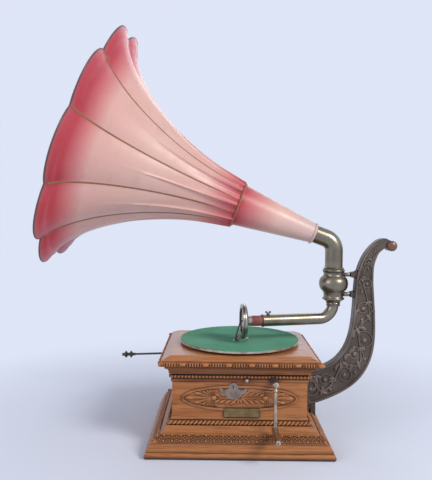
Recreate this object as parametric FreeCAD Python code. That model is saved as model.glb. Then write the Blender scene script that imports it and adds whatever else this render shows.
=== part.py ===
import FreeCAD, Part
import math
import os
from FreeCAD import Vector

# Disc gramophone with an outside horn.
# Millimetres, Z up, origin at the middle of the base's underside.
# The crank is on the -Y side, the horn's mouth looks to -X and the cast bracket stands on the +X side.

os.makedirs("parts", exist_ok=True)

# Case of oak boards
CASE_LENGTH = 266.0          # X, over the panels
CASE_DEPTH = 236.0           # Y, over the panels
PANEL_THICK = 12.0
BOTTOM_THICK = 10.0
PLINTH_TOP = 67.5            # where the base moulding ends and the bare panel starts
FRIEZE_BOTTOM = 136.4        # where the bare panel ends and the cornice starts
CORNICE_TOP = 181.5
PEARL_PROUD = 4.4            # of the pearl bead beyond the panel
TOP_BOARD_THICK = 8.5
TOP_OVERHANG = 20.4          # of the top board beyond the panels
TOP_BEVEL = 16.7             # run of the bevel round the top board
TOP_BOARD_EDGE = 1.0         # square edge under the bevel
TONGUE_THICK = 9.5           # the top board's raised middle that drops into the case
TONGUE_CLEARANCE = 0.3
GLUE_BLOCK = 14.0

# Oval frame carved on the panels
OVAL_LENGTH = 229.0
OVAL_HEIGHT = 51.0
OVAL_BAND = 4.5
OVAL_RELIEF = 2.0
OVAL_END_GAP = 18.5          # from the oval's end to the panel's end

# Metal trim on the front panel
PLATE_LENGTH = 69.0
PLATE_HEIGHT = 17.0
PLATE_THICK = 1.2
PLATE_CENTRE_X = 4.0
PLATE_RAISE = 0.8            # of the plate's underside above the base moulding
BADGE_X = -12.4
BADGE_TOP_Z = 136.0
BADGE_HEIGHT = 33.2
BADGE_WIDTH = 53.0
BADGE_BOSS_WIDTH = 18.0
BADGE_THICK = 1.6
KEYHOLE_RADIUS = 1.6
PIN_RADIUS = 1.3
PIN_HEAD = 0.7
PIN_LENGTH = 6.0

# Crank
CRANK_INSET = 66.0           # from the right panel's face to the crank's axis
CRANK_Z = 142.0
CRANK_SHAFT_RADIUS = 4.5
CRANK_ARM_LENGTH = 87.5
CRANK_ARM_OFFSET = 37.0      # from the front panel to the arm's middle
CRANK_ARM_TOP_RADIUS = 2.9
CRANK_ARM_END_RADIUS = 3.6
CRANK_EYE_RADIUS = 6.2
GRIP_LENGTH = 52.0
GRIP_RADIUS = 7.2
GRIP_PIN_RADIUS = 2.4
BUSH_RADIUS = 7.4
BUSH_PROUD = 9.0
RUNNING_FIT = 0.06           # radial play of turning shafts
SEAT_GAP = 0.3               # play between faces of pieces that move past each other

# Speed screw in the front and brake rod in the left side
SPEED_X = 13.7
SPEED_Z = 142.7
SPEED_SHAFT_RADIUS = 2.2
SPEED_KNOB_RADIUS = 3.9
SPEED_KNOB_LENGTH = 6.5
SPEED_SCREW_REACH = 26.0     # inside the case
BRAKE_Y = 60.0
BRAKE_Z = 150.5              # where the rod leaves the left panel
BRAKE_TILT = 2.2             # degrees, the rod drops towards its knob
BRAKE_ROD_RADIUS = 2.2
BRAKE_ROD_OUTSIDE = 98.0
BRAKE_KNOB_LENGTH = 31.0
BRAKE_KNOB_RADIUS = 7.4
BRAKE_SHOE_SIZE = (10.0, 14.0, 9.0)
BRAKE_TRAVEL = 6.0

# Turntable
SPINDLE_X = 2.5
PLATTER_RADIUS = 127.0
PLATTER_TOP = 199.0
PLATTER_THICK = 2.5
PLATTER_RIM = 4.0
PLATTER_RIM_THICK = 2.5
PLATTER_HUB_RADIUS = 14.0
PLATTER_HUB_DEPTH = 7.5
FELT_THICK = 1.5
SPINDLE_RADIUS = 5.0
SPINDLE_TIP_RADIUS = 3.6
SPINDLE_TIP_HEIGHT = 6.0

# Spring motor, hung under the top board
TOOTH_TIP = 0.85             # height of a tooth above the pitch line, in modules
TOOTH_ROOT = 1.15            # depth below it
TOOTH_SHARE = 0.42           # tooth width on the pitch line, as a share of the pitch
MOTOR_BUSH_HEIGHT = 5.0
MOTOR_BUSH_RADIUS = 8.0
MOTOR_PLATE_THICK = 3.0
MOTOR_PLATE_BOX = (-94.0, 105.0, -74.0, 90.0)
MOTOR_GAP = 103.0            # between the two plates
PILLAR_INSET = 8.0
PILLAR_RADIUS = 4.5
BOLT_RADIUS = 3.0
BOLT_HEAD_RADIUS = 6.0
BOLT_HEAD_HEIGHT = 2.5
BOLT_INSET = (24.0, 18.0)
BARREL_Y = 10.0
BARREL_GEAR_TEETH = 48
BARREL_MODULE = 2.0
BARREL_GEAR_WIDTH = 6.0
BARREL_DRUM_RADIUS = 43.0
BARREL_WALL = 1.6
BARREL_HEIGHT = 40.0
BARREL_LIFT = 8.0            # above the lower plate
ARBOR_RADIUS = 5.5
SPRING_TURNS = 6
SPRING_STEPS = 12            # flats in one turn of the mainspring
SPRING_THICK = 0.8
MIDDLE_PINION_TEETH = 10
MIDDLE_WHEEL_TEETH = 48
MIDDLE_MODULE = 1.5
MIDDLE_ARBOR_RADIUS = 3.5
SPINDLE_PINION_TEETH = 12
MIDDLE_WHEEL_Z = 152.0
MIDDLE_WHEEL_WIDTH = 4.0
WORM_WHEEL_TEETH = 40
WORM_WHEEL_MODULE = 1.5
WORM_WHEEL_Z = 120.0
WORM_WHEEL_WIDTH = 6.0
WORM_STARTS = 5
WORM_RADIUS = 5.5
WORM_LENGTH = 18.0
WORM_SLICE_COUNT = 8
GOVERNOR_LEFT = -84.0
GOVERNOR_RIGHT = 22.0
GOVERNOR_SHAFT_RADIUS = 2.5
GOVERNOR_COLLAR_X = -22.0
GOVERNOR_DISC_X = -62.0
GOVERNOR_DISC_RADIUS = 12.0
GOVERNOR_WEIGHT_RADIUS = 4.5
GOVERNOR_BOW = 9.0           # how far the leaf springs stand off the shaft
BEVEL_MODULE = 1.75
BEVEL_PINION_TEETH = 12
BEVEL_WHEEL_TEETH = 24
BEVEL_INNER_SHARE = 0.72     # inner end of the bevel teeth, as a share of the outer end
RATCHET_TEETH = 12
RATCHET_RADIUS = 15.0
RATCHET_WIDTH = 3.0
PAWL_PIVOT = (23.0, 22.0)    # from the arbor
COG_BEARING = 7.0            # half width of the cast bearing blocks
LEVER_PIVOT = (-30.0, -66.0)
LEVER_Z = 138.0
LEVER_THICK = 2.5

# Swivel bulb, elbow and horn
SWIVEL_OUT = 71.2            # from the right panel's face to the swivel's axis
BULB_BOTTOM = 279.3
BULB_MIDDLE = 320.0
BULB_RADIUS = 31.0
BULB_TOP = 346.0
BULB_NECK_RADIUS = 21.8
BULB_WAIST_RADIUS = 21.0
BULB_RING_RADIUS = 23.6
BULB_WALL = 2.2
BULB_BAND = 4.0              # half height of the bulb's straight middle
BULB_BORE_TOP = 300.0        # upper end of the tone arm's bore
LUG_REACH = 35.8             # from the swivel's axis to the bracket
LUG_WIDTH = 12.0
UPPER_LUG_Z = 339.3
UPPER_LUG_THICK = 8.6
LOWER_LUG_Z = 297.0
LOWER_LUG_THICK = 9.6
ELBOW_RADIUS = 19.0          # outside of the tube
ELBOW_BEND = 29.0
ELBOW_WALL = 1.6
ELBOW_FLANGE_RADIUS = 24.0
ELBOW_FLANGE_HEIGHT = 8.0
ELBOW_SPIGOT_DEPTH = 9.0
HORN_TILT = 20.46            # degrees above level
HORN_CORNER_Z = 410.6        # where the horn's axis meets the swivel's axis
NECK_START = 45.3            # from that corner to the horn's small end
NECK_LENGTH = 176.5
NECK_SMALL_RADIUS = 20.6
NECK_LARGE_RADIUS = 45.6
NECK_WALL = 1.2
NECK_OVERLAP = 25.0          # of the horn over the elbow
COLLAR_RADIUS = 48.2
COLLAR_WIDTH = 4.5
PETALS = 10
SEAM_START = 12.0            # degrees, first seam from the -Y side
PETAL_CHORD_COUNT = 8        # flats across one petal
SHEET_THICK = 1.2
# distance from the collar, radius at a seam, radius at the middle of a petal
BELL_STATIONS = [
    (0.0, 45.6, 45.6),
    (73.0, 60.6, 61.4),
    (127.0, 77.2, 79.2),
    (176.0, 98.0, 101.6),
    (222.0, 122.5, 128.0),
    (265.0, 150.5, 158.5),
    (301.0, 180.5, 191.5),
    (325.0, 207.0, 223.0),
    (339.0, 229.0, 257.0),
]
SEAM_HEIGHT = 2.2
SEAM_WIDTH = 2.6
RIM_ROLL = 3.0

# Cast iron bracket
BRACKET_THICK = 22.0
FLANGE_THICK = 10.0
FLANGE_WIDTH = 150.0
FLANGE_MARGIN = 0.8          # above and below, inside the bare panel
# inner edge from the flange to the curl, then outer edge back down, as distances out from the panel and Z
BRACKET_INNER = [(10.0, 130.0), (47.0, 139.6), (74.0, 154.5), (98.0, 186.4), (110.0, 230.0),
                 (114.5, 288.0), (119.5, 342.0), (138.4, 388.7), (159.0, 411.0)]
BRACKET_OUTER = [(166.5, 388.5), (156.5, 364.0), (155.0, 313.0), (160.0, 230.0), (153.0, 161.0),
                 (129.6, 117.0), (89.0, 85.0), (28.6, 60.0)]
BRACKET_CROWN = (170.0, 417.0)
BRACKET_HEEL = (10.0, 66.0)
CURL_CENTRE = (191.8, 402.0)
CURL_RADIUS = 11.0
CURL_TOP = (180.0, 418.0)
CURL_HOOK = (178.0, 398.0)
CURL_WIDTH = 27.0
SPUR = [(23.5, 62.0), (34.5, 62.0), (34.5, 33.4), (25.5, 40.8)]
SCREW_RADIUS = 3.0
SCREW_HEAD_RADIUS = 5.5
SCREW_HEAD_HEIGHT = 3.0
SCREW_LENGTH = 20.0
FLANGE_SCREW_INSET = 10.0

# Tone arm and sound box
ARM_Z = 244.5
ARM_YAW = 14.0               # degrees from -X towards the crank side at rest
BOX_YAW = 5.0                # of the sound box, which the soft sleeve lets stand straighter
ARM_RADIUS = 12.2
ARM_WALL = 1.5
ARM_BEND = 32.0
ARM_LENGTH = 161.5           # from the swivel's axis to the tube's end
ARM_COLLAR_RADIUS = 15.2
ARM_COLLAR_HEIGHT = 7.0
SLEEVE_LENGTH = 22.0
SLEEVE_BEND = 60.0
SLEEVE_RADIUS = 10.9
STEM_RADIUS = 8.4
WING_SCREW_INSET = 13.9      # from the tube's end to the wing screw
WING_SPAN = 11.4
WING_HEIGHT = 5.6
WING_STEM_RADIUS = 1.8
FERRULE_LENGTH = 4.0
SOUND_BOX_BACK = 22.0        # from the sleeve's middle to the back of the sound box
SOUND_BOX_RADIUS = 35.8
SOUND_BOX_THICK = 11.0
SOUND_BOX_WALL = 2.2
DIAPHRAGM_RADIUS = 30.0
DIAPHRAGM_THICK = 0.8
NEEDLE_RADIUS = 0.8
NEEDLE_TIP_RADIUS = 0.15
NEEDLE_CLEARANCE = 0.3       # tip above the felt
CHUCK_REACH = 46.0           # from the sleeve's middle to the chuck's open end
CHUCK_RADIUS = 3.4
CHUCK_LENGTH = 8.0
THUMB_HEAD_RADIUS = 3.2
THUMB_STEM_RADIUS = 1.3
THUMB_REACH = 20.5

HALF_X = CASE_LENGTH / 2
HALF_Y = CASE_DEPTH / 2
CRANK_X = HALF_X - CRANK_INSET
BARREL_X = CRANK_X
SWIVEL_X = HALF_X + SWIVEL_OUT
LUG_END_X = SWIVEL_X + LUG_REACH
WING_SCREW_S = ARM_LENGTH - WING_SCREW_INSET
FRONT_Y = -HALF_Y
TOP_Z = CORNICE_TOP + TOP_BOARD_THICK
TONGUE_Z = CORNICE_TOP - TONGUE_THICK
MOTOR_TOP = TONGUE_Z - MOTOR_BUSH_HEIGHT - MOTOR_PLATE_THICK
MOTOR_FLOOR = MOTOR_TOP - MOTOR_GAP
RATCHET_Z = MOTOR_TOP - RATCHET_WIDTH - 3.0
UP = Vector(0, 0, 1)


def box(x0, x1, y0, y1, z0, z1):
    return Part.makeBox(x1 - x0, y1 - y0, z1 - z0, Vector(x0, y0, z0))


def rod(radius, start, end):
    start, end = Vector(*start), Vector(*end)
    return Part.makeCylinder(radius, (end - start).Length, start, end - start)


def outline(start, *steps):
    # A closed flat face in the XZ plane. A step is an end point, or a middle and an end point of an arc.
    edges = []
    here = Vector(start[0], 0, start[1])
    for step in list(steps) + [start]:
        if isinstance(step[0], tuple):
            middle = Vector(step[0][0], 0, step[0][1])
            there = Vector(step[1][0], 0, step[1][1])
            edges.append(Part.Arc(here, middle, there).toShape())
        else:
            there = Vector(step[0], 0, step[1])
            if here.distanceToPoint(there) < 1e-6:
                continue
            edges.append(Part.LineSegment(here, there).toShape())
        here = there
    return Part.Face(Part.Wire(edges))


def turned(start, *steps):
    # A body of revolution about Z, from an outline given as radius and height.
    return outline(start, *steps).revolve(Vector(0, 0, 0), UP, 360)


def polygon(points):
    return Part.Face(Part.makePolygon([Vector(*p) for p in points] + [Vector(*points[0])]))


def placed(shape, at, direction, roll=0.0):
    # Turns the shape's own Z axis to a direction and moves its origin.
    turn = FreeCAD.Rotation(UP, Vector(*direction)) * FreeCAD.Rotation(UP, roll)
    moved = shape.copy()
    moved.Placement = FreeCAD.Placement(Vector(*at), turn).multiply(shape.Placement)
    return moved


def turn_about(shape, degrees, centre=(0, 0, 0), axis=(0, 0, 1)):
    moved = shape.copy()
    moved.rotate(Vector(*centre), Vector(*axis), degrees)
    return moved


def group(shapes):
    return Part.makeCompound(shapes)


# Case

def panel(length, low, high):
    # A board standing on the bottom board, its outer face on y = 0, its length along X.
    return box(-length / 2, length / 2, 0, PANEL_THICK, low, high)


def oval_frame(length, middle_z):
    def ellipse(grow):
        curve = Part.Ellipse(Vector(0, 0, middle_z), length / 2 + grow, OVAL_HEIGHT / 2 + grow)
        edge = curve.toShape()
        edge.rotate(Vector(0, 0, middle_z), Vector(1, 0, 0), 90)
        return Part.Face(Part.Wire([edge])).extrude(Vector(0, -OVAL_RELIEF, 0))
    return ellipse(0).cut(ellipse(-OVAL_BAND))


def case_panel(length, carved):
    board = panel(length, BOTTOM_THICK, CORNICE_TOP)
    if carved:
        middle_z = (PLINTH_TOP + FRIEZE_BOTTOM) / 2 + 3.0
        board = board.fuse(oval_frame(min(OVAL_LENGTH, length - 2 * OVAL_END_GAP), middle_z))
    return board


def front_panel():
    board = case_panel(CASE_LENGTH, True)
    board.translate(Vector(0, FRONT_Y, 0))
    return board.cut(badge_blank(OVAL_RELIEF + 1)).cut(front_holes()).cut(pin_holes())


def back_panel():
    board = turn_about(case_panel(CASE_LENGTH, True), 180)
    board.translate(Vector(0, HALF_Y, 0))
    return board


def side_length():
    return CASE_DEPTH - 2 * PANEL_THICK


def left_panel():
    board = turn_about(case_panel(side_length(), True), -90)
    board.translate(Vector(-HALF_X, 0, 0))
    return board.cut(brake_hole())


def right_panel():
    board = turn_about(case_panel(side_length(), False), 90)
    board.translate(Vector(HALF_X, 0, 0))
    return board.cut(group(flange_screws(SCREW_RADIUS)))


def front_holes():
    reach = PANEL_THICK + 12
    crank = rod(BUSH_RADIUS, (CRANK_X, FRONT_Y - 12, CRANK_Z), (CRANK_X, FRONT_Y + reach, CRANK_Z))
    speed_radius = SPEED_SHAFT_RADIUS + RUNNING_FIT
    speed = rod(speed_radius, (SPEED_X, FRONT_Y - 12, SPEED_Z), (SPEED_X, FRONT_Y + reach, SPEED_Z))
    return crank.fuse(speed)


def brake_line(distance):
    # A point on the brake rod's axis, measured inwards from the left panel's face.
    slope = math.radians(BRAKE_TILT)
    return (-HALF_X + distance * math.cos(slope), BRAKE_Y, BRAKE_Z + distance * math.sin(slope))


def brake_hole():
    return rod(BRAKE_ROD_RADIUS + RUNNING_FIT, brake_line(-30), brake_line(30))


def bottom_board():
    return box(-HALF_X, HALF_X, -HALF_Y, HALF_Y, 0, BOTTOM_THICK)


def plinth_section():
    # Bull nose, fillet, ogee, sloping leaf band, hollow band, rope bead and fillet, from the floor up.
    return outline((0, 0), (46.0, 0), ((49.4, 6.2), (46.0, 12.5)), (44.5, 12.5), (44.5, 16.0),
                   ((44.0, 19.4), (41.5, 21.7)), ((39.0, 24.1), (38.5, 27.5)), (36.0, 27.5),
                   ((29.6, 35.4), (20.5, 41.5)), (18.5, 42.5), ((13.8, 47.4), (11.0, 53.5)), (5.5, 53.5),
                   ((8.8, 57.0), (5.5, 60.5)), (2.5, 60.5), (2.5, 63.5), (0, PLINTH_TOP))


def cornice_section():
    # Fillet, pearl bead, cove, quirk and the bead-and-reel torus under the top board.
    return outline((0, FRIEZE_BOTTOM), (2.5, 138.6), (2.5, 142.3), (1.2, 142.8), (1.2, 145.0),
                   ((PEARL_PROUD, 148.1), (1.2, 151.2)), (1.2, 154.4), (6.5, 154.4), (6.5, 156.0),
                   ((7.7, 161.6), (12.0, 165.5)), (14.0, 165.5), (14.0, 168.5), (12.5, 168.5),
                   (12.5, 170.5), (18.5, 170.5), ((24.0, 175.9), (18.5, 181.3)), (18.5, CORNICE_TOP),
                   (0, CORNICE_TOP))


def mitred_frame(section):
    # Four lengths of moulding round the case, mitred at the corners.
    lengths = []
    reach = section.BoundBox.XMax + 1
    for quarter in range(4):
        half_out = (HALF_Y, HALF_X)[quarter % 2]
        half_run = (HALF_X, HALF_Y)[quarter % 2]
        bar = section.copy()
        bar.rotate(Vector(0, 0, 0), UP, -90)
        bar.translate(Vector(-half_run - reach, -half_out, 0))
        bar = bar.extrude(Vector(2 * (half_run + reach), 0, 0))
        corner = [(-half_run - reach, -half_out - reach), (half_run + reach, -half_out - reach),
                  (half_run - half_out, 0), (half_out - half_run, 0)]
        if half_run < half_out:
            corner = [corner[0], corner[1], (0, half_run - half_out)]
        wedge = polygon([(x, y, -1) for x, y in corner]).extrude(Vector(0, 0, CORNICE_TOP + 2))
        lengths.append(turn_about(bar.common(wedge), 90 * quarter))
    return lengths


def plinth():
    return group(mitred_frame(plinth_section()))


def cornice():
    front, right, back, left = mitred_frame(cornice_section())
    return group([front.cut(front_holes()), right, back, left.cut(brake_hole())])


def rectangle(half_x, half_y, z):
    return Part.makePolygon([Vector(half_x, half_y, z), Vector(-half_x, half_y, z), Vector(-half_x, -half_y, z),
                             Vector(half_x, -half_y, z), Vector(half_x, half_y, z)])


def top_board():
    out_x, out_y = HALF_X + TOP_OVERHANG, HALF_Y + TOP_OVERHANG
    edge_z = CORNICE_TOP + TOP_BOARD_EDGE
    board = box(-out_x, out_x, -out_y, out_y, CORNICE_TOP, edge_z)
    lower = rectangle(out_x, out_y, edge_z)
    upper = rectangle(out_x - TOP_BEVEL, out_y - TOP_BEVEL, TOP_Z)
    board = board.fuse(Part.makeLoft([lower, upper], True, True))
    in_x = HALF_X - PANEL_THICK - TONGUE_CLEARANCE
    in_y = HALF_Y - PANEL_THICK - TONGUE_CLEARANCE
    board = board.fuse(box(-in_x, in_x, -in_y, in_y, TONGUE_Z, CORNICE_TOP)).removeSplitter()
    holes = [rod(SPINDLE_RADIUS + 2.5, (SPINDLE_X, 0, TONGUE_Z - 1), (SPINDLE_X, 0, TOP_Z + 1))]
    for x, y in bolt_places():
        holes.append(rod(BOLT_RADIUS + RUNNING_FIT, (x, y, TONGUE_Z - 1), (x, y, TOP_Z + 1)))
    return board.cut(group(holes))


def glue_blocks():
    blocks = []
    in_x, in_y = HALF_X - PANEL_THICK, HALF_Y - PANEL_THICK
    top = TONGUE_Z - SEAT_GAP
    for side_x in (-1, 1):
        for side_y in (-1, 1):
            corner = [(in_x, in_y), (in_x - GLUE_BLOCK, in_y), (in_x, in_y - GLUE_BLOCK)]
            points = [(side_x * x, side_y * y, BOTTOM_THICK) for x, y in corner]
            blocks.append(polygon(points).extrude(Vector(0, 0, top - BOTTOM_THICK)))
    return group(blocks)


# Metal trim

def plate_base_z():
    return PLINTH_TOP + PLATE_RAISE


def plate_pin_places():
    low = plate_base_z() + PLATE_HEIGHT / 2
    ends = [(PLATE_CENTRE_X + side * (PLATE_LENGTH / 2 - 4), low, PLATE_THICK) for side in (-1, 1)]
    wings = [(BADGE_X + side * BADGE_WIDTH * 0.34, BADGE_TOP_Z - BADGE_HEIGHT * 0.46, BADGE_THICK)
             for side in (-1, 1)]
    return ends + wings


def pin_holes():
    holes = [rod(PIN_RADIUS, (x, FRONT_Y - 5, z), (x, FRONT_Y + PIN_LENGTH, z)) for x, z, _ in plate_pin_places()]
    return group(holes)


def name_plate():
    # A bare plate over the lower edge of the oval frame, so it stands on the frame's relief.
    low = plate_base_z()
    plate = box(PLATE_CENTRE_X - PLATE_LENGTH / 2, PLATE_CENTRE_X + PLATE_LENGTH / 2,
                FRONT_Y - OVAL_RELIEF - PLATE_THICK, FRONT_Y - OVAL_RELIEF, low, low + PLATE_HEIGHT)
    return plate.cut(pin_holes())


def badge_blank(depth):
    # Bell-shaped outline: a round-topped boss between two wings, over a rounded foot.
    top, half, boss = BADGE_TOP_Z, BADGE_WIDTH / 2, BADGE_BOSS_WIDTH / 2
    left, right = BADGE_X - half, BADGE_X + half
    wing_top = top - BADGE_HEIGHT * 0.30
    wing_low = top - BADGE_HEIGHT * 0.62
    face = outline((BADGE_X - boss, wing_top - 1), ((BADGE_X, top), (BADGE_X + boss, wing_top - 1)),
                   ((right - 5, wing_top - 3), (right, wing_top + 1)),
                   ((right - 1, wing_low + 2), (right - 9, wing_low - 3)),
                   ((BADGE_X, top - BADGE_HEIGHT), (left + 9, wing_low - 3)),
                   ((left + 1, wing_low + 2), (left, wing_top + 1)),
                   ((left + 5, wing_top - 3), (BADGE_X - boss, wing_top - 1)))
    plate = face.extrude(Vector(0, -depth, 0))
    plate.translate(Vector(0, FRONT_Y, 0))
    return plate


def badge():
    # The blank with its keyhole, in the boss.
    plate = badge_blank(BADGE_THICK)
    key_z = BADGE_TOP_Z - 7.0
    hole = rod(KEYHOLE_RADIUS, (BADGE_X, FRONT_Y - 3, key_z), (BADGE_X, FRONT_Y + 1, key_z))
    slot = box(BADGE_X - 0.7, BADGE_X + 0.7, FRONT_Y - 3, FRONT_Y + 1, key_z - 5, key_z)
    return plate.cut(hole.fuse(slot)).cut(pin_holes())


def crank_bush():
    body = rod(BUSH_RADIUS, (CRANK_X, FRONT_Y + PANEL_THICK, CRANK_Z), (CRANK_X, FRONT_Y - BUSH_PROUD, CRANK_Z))
    bore = rod(CRANK_SHAFT_RADIUS + RUNNING_FIT, (CRANK_X, FRONT_Y + PANEL_THICK + 1, CRANK_Z),
               (CRANK_X, FRONT_Y - BUSH_PROUD - 1, CRANK_Z))
    return body.cut(bore)


# Crank

def crank_arm_y():
    return FRONT_Y - CRANK_ARM_OFFSET


def crank_shaft():
    # From the arm's eye through the bush and the motor's bearing to the bevel pinion.
    outer_end = bevel_distance(BEVEL_WHEEL_TEETH)
    shaft = rod(CRANK_SHAFT_RADIUS, (CRANK_X, crank_arm_y() + CRANK_EYE_RADIUS - 0.5, CRANK_Z),
                (CRANK_X, BARREL_Y - outer_end - 4, CRANK_Z))
    pinion = bevel_gear(BEVEL_PINION_TEETH, BEVEL_WHEEL_TEETH, 0.0)
    pinion = placed(pinion, (CRANK_X, BARREL_Y, CRANK_Z), (0, -1, 0), 180.0 / BEVEL_PINION_TEETH)
    return shaft.fuse(pinion)


def crank_arm():
    y = crank_arm_y()
    low = CRANK_Z - CRANK_ARM_LENGTH
    r = CRANK_EYE_RADIUS
    eye = turned((0, -r), (r * 0.6, -r * 0.86), (r, -r * 0.4), (r, r * 0.4), (r * 0.6, r * 0.86), (0, r))
    eye = placed(eye, (CRANK_X, y, CRANK_Z), (0, -1, 0))
    top = CRANK_ARM_TOP_RADIUS
    bead = turned((0, -3), (top, -3), (top + 1.6, -1), (top + 1.6, 1), (top, 3), (0, 3))
    bead = placed(bead, (CRANK_X, y, CRANK_Z - 10.0), (0, 0, 1))
    bar = Part.makeCone(CRANK_ARM_TOP_RADIUS, CRANK_ARM_END_RADIUS, CRANK_ARM_LENGTH - 5,
                        Vector(CRANK_X, y, CRANK_Z), Vector(0, 0, -1))
    boss = rod(GRIP_RADIUS - 0.4, (CRANK_X, y + 4.5, low), (CRANK_X, y - 4.5, low))
    pin = rod(GRIP_PIN_RADIUS, (CRANK_X, y, low), (CRANK_X, y - 4.5 - GRIP_LENGTH - 1.0, low))
    head = rod(GRIP_RADIUS - 2.4, (CRANK_X, y - 4.5 - GRIP_LENGTH - 1.0, low),
               (CRANK_X, y - 4.5 - GRIP_LENGTH - 3.0, low))
    arm = eye.multiFuse([bead, bar, boss, pin, head])
    socket = box(CRANK_X - 8, CRANK_X + 8, y + CRANK_EYE_RADIUS - 0.5, y + 9, CRANK_Z - 8, CRANK_Z + 8)
    return arm.cut(socket)


def crank_grip():
    # Turned wood with a swelling middle, bored for its pin.
    r, n = GRIP_RADIUS, GRIP_LENGTH - SEAT_GAP
    bore = GRIP_PIN_RADIUS + RUNNING_FIT
    body = turned((bore, 0), (r - 0.8, 0), (r - 0.8, 5), (r, n * 0.45), (r - 1.2, n - 4), (r - 2.2, n), (bore, n))
    return placed(body, (CRANK_X, crank_arm_y() - 4.5 - SEAT_GAP, CRANK_Z - CRANK_ARM_LENGTH), (0, -1, 0))


# Speed screw and brake

def speed_screw():
    knob_y = FRONT_Y - PEARL_PROUD - SEAT_GAP
    inner_y = FRONT_Y + PANEL_THICK + SPEED_SCREW_REACH
    shaft = rod(SPEED_SHAFT_RADIUS, (SPEED_X, knob_y, SPEED_Z), (SPEED_X, inner_y, SPEED_Z))
    r, n = SPEED_KNOB_RADIUS, SPEED_KNOB_LENGTH
    knob = turned((0, 0), (r - 0.7, 0), (r, 0.8), (r, n - 1.4), (r - 1.2, n), (0, n))
    return shaft.fuse(placed(knob, (SPEED_X, knob_y, SPEED_Z), (0, -1, 0)))


def brake_rod():
    return rod(BRAKE_ROD_RADIUS, brake_line(-BRAKE_ROD_OUTSIDE - 6), brake_line(shoe_distance()))


def brake_knob():
    # Turned handle with two rings, slipped over the rod's end.
    r, n = BRAKE_KNOB_RADIUS, BRAKE_KNOB_LENGTH
    slope = math.radians(BRAKE_TILT)
    body = turned((0, 0), (2.6, 0), (3.6, 7.5), (r, 9.5), (r, 12), (3.6, 14), (3.6, 19), (r, 21), (r, 23.5),
                  (3.8, 25.5), (3.0, n), (0, n))
    body = body.cut(rod(BRAKE_ROD_RADIUS, (0, 0, -1), (0, 0, 6)))
    return placed(body, brake_line(-BRAKE_ROD_OUTSIDE), (-math.cos(slope), 0, -math.sin(slope)))


def shoe_distance():
    # Along the rod from the left panel to the back of the shoe, so that its face stops at the wheel's rim.
    size = BRAKE_SHOE_SIZE
    rim = MIDDLE_MODULE * (MIDDLE_WHEEL_TEETH / 2 + TOOTH_TIP)
    across = max(abs(middle_arbor_place()[1] - BRAKE_Y) - size[1] / 2, 0.0)
    rim_x = middle_arbor_place()[0] - math.sqrt(rim ** 2 - across ** 2)
    return rim_x - BRAKE_TRAVEL - 1.0 - size[0] + HALF_X


def brake_shoe():
    size = BRAKE_SHOE_SIZE
    x, y, z = brake_line(shoe_distance())
    shoe = box(x, x + size[0], y - size[1] / 2, y + size[1] / 2, z - size[2] / 2, z + size[2] / 2)
    return shoe.cut(brake_rod())


# Turntable

def platter():
    r, top = PLATTER_RADIUS, PLATTER_TOP
    under = top - PLATTER_THICK
    inner = r - PLATTER_RIM_THICK
    disc = turned((SPINDLE_RADIUS, top), (r, top), (r, top - PLATTER_RIM), (inner, top - PLATTER_RIM),
                  (inner, under), (PLATTER_HUB_RADIUS, under), (PLATTER_HUB_RADIUS, top - PLATTER_HUB_DEPTH),
                  (SPINDLE_RADIUS, top - PLATTER_HUB_DEPTH))
    return placed(disc, (SPINDLE_X, 0, 0), (0, 0, 1))


def felt():
    disc = rod(PLATTER_RADIUS - 0.4, (SPINDLE_X, 0, PLATTER_TOP), (SPINDLE_X, 0, PLATTER_TOP + FELT_THICK))
    return disc.cut(rod(SPINDLE_RADIUS, (SPINDLE_X, 0, PLATTER_TOP - 1), (SPINDLE_X, 0, PLATTER_TOP + 5)))


def spindle():
    felt_top = PLATTER_TOP + FELT_THICK
    shaft = turned((0, MOTOR_FLOOR), (SPINDLE_RADIUS, MOTOR_FLOOR), (SPINDLE_RADIUS, felt_top),
                   (SPINDLE_TIP_RADIUS, felt_top), (SPINDLE_TIP_RADIUS, felt_top + SPINDLE_TIP_HEIGHT - 2),
                   (0, felt_top + SPINDLE_TIP_HEIGHT))
    shaft = placed(shaft, (SPINDLE_X, 0, 0), (0, 0, 1))
    phase = math.degrees(math.atan2(middle_arbor_place()[1], middle_arbor_place()[0] - SPINDLE_X))
    pinion = spur_gear(SPINDLE_PINION_TEETH, MIDDLE_MODULE, MIDDLE_WHEEL_WIDTH + 4, SPINDLE_RADIUS, phase)
    pinion.translate(Vector(SPINDLE_X, 0, MIDDLE_WHEEL_Z - 2))
    return shaft.fuse(pinion)


# Gears

def gear_ring(teeth, pitch_radius, tip, root, phase, z=0.0):
    # Corners of straight-sided teeth, narrower at the tip, the first one at the phase angle.
    pitch = 360.0 / teeth
    root_half = pitch * (TOOTH_SHARE / 2 + 0.11)
    tip_half = pitch * (TOOTH_SHARE / 2 - 0.10)
    points = []
    for tooth in range(teeth):
        middle = phase + tooth * pitch
        for radius, angle in ((pitch_radius - root, -root_half), (pitch_radius + tip, -tip_half),
                              (pitch_radius + tip, tip_half), (pitch_radius - root, root_half)):
            turn = math.radians(middle + angle)
            points.append(Vector(radius * math.cos(turn), radius * math.sin(turn), z))
    return points


def flat(*points):
    return Part.Face(Part.makePolygon(list(points) + [points[0]]))


def skinned(rings):
    # A solid through rings of corners, its sides made of flat triangles.
    faces = [flat(*rings[0]), flat(*rings[-1])]
    for low, high in zip(rings, rings[1:]):
        for k in range(len(low)):
            faces.append(flat(low[k - 1], low[k], high[k]))
            faces.append(flat(low[k - 1], high[k], high[k - 1]))
    return Part.makeSolid(Part.makeShell(faces))


def spur_gear(teeth, module, width, bore, phase):
    ring = gear_ring(teeth, teeth * module / 2, TOOTH_TIP * module, TOOTH_ROOT * module, phase)
    return flat(*ring).extrude(Vector(0, 0, width)).cut(rod(bore, (0, 0, -1), (0, 0, width + 1)))


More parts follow.
